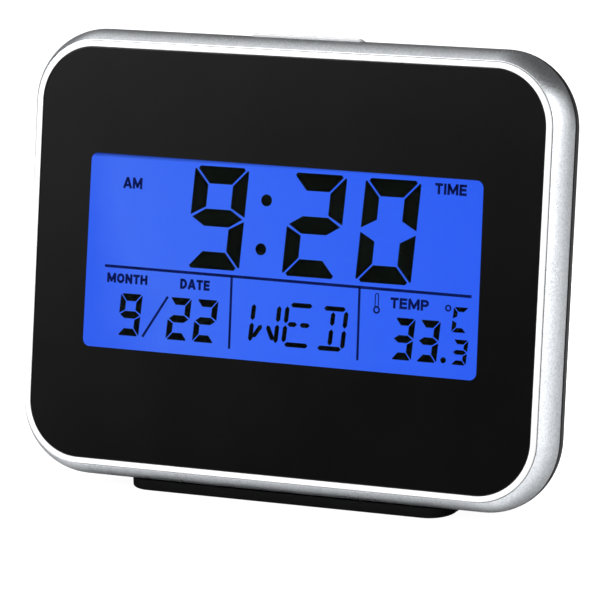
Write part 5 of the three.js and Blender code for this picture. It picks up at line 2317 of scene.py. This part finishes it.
@dataclass
class Studio:
    """Pale floor with painted shadow and painted light in its tone, soft light and the camera.

    A slope of the floor is where it starts, where it stops and its share of the floor's tone; the slopes are painted
    shade behind the clock and painted light in front of it and to its right. A card is a bright stretch of the floor
    behind the clock, painted light, by the span over which each of its edges fades.
    """

    body: BodyFrame
    camera_azimuth: float = 27.0518
    camera_elevation: float = 14.527
    camera_roll: float = -2.7226
    camera_distance: float = 917.58
    camera_lens: float = 269.71
    camera_sensor: float = 36.0
    camera_clip: float = 10.0
    aim: Point3 = (5.1395, 0.5379, -7.172)
    floor_half: float = 3000.0
    floor_tones: Point2 = (0.27, 0.88)
    floor_stops: Point2 = (0.05, 1.0)
    # Painted shadow: the floor's tone rises over this span of distance from the clock
    painted_shadow_fade: Point2 = (62.0, 478.0)
    # Painted shade behind the clock, and painted light in front of it and to its right
    floor_painted_shade_and_light: tuple[tuple[str, Point3], ...] = (
        ("Y", (-5.0, 368.0, -1.39)),
        ("Y", (-16.5, -23.0, 0.65)),
        ("X", (39.0, 50.0, 0.45)),
    )
    floor_cloud: float = 120.0
    floor_lift: float = 0.95
    # Painted light: a bright patch of floor behind the clock, by its share and the spans over which its edges fade
    painted_light_share: float = 1.2
    painted_light_edges: tuple[tuple[str, Point2], ...] = (("Y", (8.0, 26.0)), ("Y", (280.0, 180.0)), ("X", (66.0, 46.0)))
    room_fade: Point2 = (0.33, 0.9)
    room_lights: Point2 = (1.1, 0.07)
    flags: tuple[Flag, ...] = (
        Flag(-16.6, -6.5, (14.0, 30.0), 0.1),
        Flag(154.0, 57.0, (25.0, 45.0), 0.04),
        Flag(-123.0, 18.0, (12.0, 29.0), 0.03),
    )
    boxes: tuple[Softbox, ...] = (
        Softbox("left_softbox", -58.0, 38.0, 900.0, (600.0, 600.0), 6.5),
        Softbox("right_softbox", 78.0, 22.0, 900.0, (500.0, 600.0), 2.0),
        Softbox("rear_softbox", -160.0, 35.0, 1000.0, (450.0, 450.0), 4.0, mirrored=False),
    )

    @staticmethod
    def direction(azimuth: float, elevation: float) -> Vector:
        """Unit vector from the clock, by azimuth from its front and by elevation."""
        a, e = math.radians(azimuth), math.radians(elevation)
        return Vector((math.sin(a) * math.cos(e), -math.cos(a) * math.cos(e), math.sin(e)))

    def build_camera(self) -> None:
        """Places the camera at the photograph's viewing angle."""
        back = self.direction(self.camera_azimuth, self.camera_elevation)
        a, roll = math.radians(self.camera_azimuth), math.radians(self.camera_roll)
        level = Vector((math.cos(a), math.sin(a), 0))
        right = level * math.cos(roll) + back.cross(level) * math.sin(roll)
        axes = Matrix((right, back.cross(right), back)).transposed().to_4x4()
        eye = self.body.origin + (Vector(self.aim) + back * self.camera_distance) * MM
        data = bpy.data.cameras.new("camera")
        data.lens = self.camera_lens
        data.sensor_width = self.camera_sensor
        data.clip_start = self.camera_clip * MM
        camera = bpy.data.objects.new("camera", data)
        bpy.context.scene.collection.objects.link(camera)
        camera.matrix_world = Matrix.Translation(eye) @ axes
        bpy.context.scene.camera = camera

    def build_floor(self) -> None:
        """Lays the pale floor, which shows a little brighter than its light would make it. Its tone carries painted
        shadow near and behind the clock, and painted light in front of it, to its right and in a patch behind it.
        """
        graph = Graph("pale_floor")
        parts = graph.parts(graph.place)
        reach = graph.node("ShaderNodeVectorMath", {0: graph.place}, operation="LENGTH").outputs["Value"]
        # Painted shadow: the floor is darker near the clock
        away = graph.ease(reach, (self.painted_shadow_fade[0] * MM, self.painted_shadow_fade[1] * MM))
        blend = graph.sum(away, graph.noise(self.floor_cloud, detail=2), share=0.05)
        # Painted shade behind the clock and painted light in front of it and to its right
        for axis, (start, stop, share) in self.floor_painted_shade_and_light:
            blend = graph.sum(blend, graph.ease(parts[axis], (start * MM, stop * MM)), share)
        # Painted light: a bright patch of floor behind the clock, which the back of the case mirrors
        edges = [graph.ease(parts[axis], (start * MM, stop * MM)) for axis, (start, stop) in self.painted_light_edges]
        card = edges[0]
        for edge in edges[1:]:
            card = graph.value("ShaderNodeMath", {0: card, 1: edge}, operation="MINIMUM")
        blend = graph.sum(blend, card, self.painted_light_share)
        stops = [(at, (tone, tone, tone)) for at, tone in zip(self.floor_stops, self.floor_tones)]
        graph.set(
            Base_Color=graph.ramp(blend, stops),
            Roughness=0.9,
            Specular_IOR_Level=0.1,
            Emission_Color=(self.floor_lift,) * 3,
            Emission_Strength=graph.node("ShaderNodeLightPath", {}).outputs["Is Camera Ray"],
        )
        shell = Shell()
        half = self.floor_half
        shell.face(shell.ring([(-half, -half, 0), (half, -half, 0), (half, half, 0), (-half, half, 0)]))
        shell.make("floor", Matrix.Identity(4), [graph.material])

    def build_world(self) -> None:
        """Lights the room: bright in front and above, dim behind, with dark flags that the panel mirrors."""
        world = bpy.data.worlds.new("studio")
        bpy.context.scene.world = world
        world.use_nodes = True
        tree = NodeTree(world.node_tree)
        way = tree.node("ShaderNodeTexCoord", {}).outputs["Generated"]
        level = tree.ease(tree.parts(way)["Y"], self.room_fade, self.room_lights, Ease.SOFT)
        for flag in self.flags:
            pair = {0: way, 1: self.direction(flag.azimuth, flag.elevation)}
            near = tree.node("ShaderNodeVectorMath", pair, operation="DOT_PRODUCT").outputs["Value"]
            angle = tree.value("ShaderNodeMath", {0: near}, operation="ARCCOSINE")
            share = tree.ease(angle, tuple(math.radians(end) for end in flag.span), way=Ease.SOFT)
            level = tree.value("ShaderNodeMix", {"Factor": share, 2: flag.light, 3: level})
        seen = tree.node("ShaderNodeLightPath", {}).outputs["Is Camera Ray"]
        shown = tree.value("ShaderNodeMix", {"Factor": seen, 2: level, 3: 1.0})
        light = tree.value("ShaderNodeBackground", {"Strength": shown})
        tree.node("ShaderNodeOutputWorld", {"Surface": light})

    def build_boxes(self) -> None:
        """Hangs the softboxes."""
        for box in self.boxes:
            data = bpy.data.lights.new(box.name, "AREA")
            data.shape = "RECTANGLE"
            data.size, data.size_y = box.size[0] * MM, box.size[1] * MM
            data.energy = box.power
            light = bpy.data.objects.new(box.name, data)
            light.visible_glossy = box.mirrored
            bpy.context.scene.collection.objects.link(light)
            way = self.direction(box.azimuth, box.elevation)
            place = Matrix.Translation(self.body.origin + way * box.distance * MM)
            light.matrix_world = place @ way.to_track_quat("Z", "Y").to_matrix().to_4x4()

    def build(self) -> None:
        """Builds the studio."""
        bpy.context.scene.view_settings.view_transform = "Standard"
        self.build_camera()
        self.build_floor()
        self.build_world()
        self.build_boxes()


def main() -> None:
    """Builds the clock's looks round its frame."""
    logging.basicConfig(level=logging.INFO, format="%(message)s")
    body, shape = BodyFrame(), CaseShape()
    Studio(body).build()
    front = FrontBezel, FrontPanel, Display
    rear = RearCase, TalkBar, RearKeys, AlarmSlider, BatteryBay, Speaker, Screws, Foot
    for assembly in front + rear:
        assembly(body, shape).build()
    InnerWorks().dress()


if __name__ == "__main__":
    main()
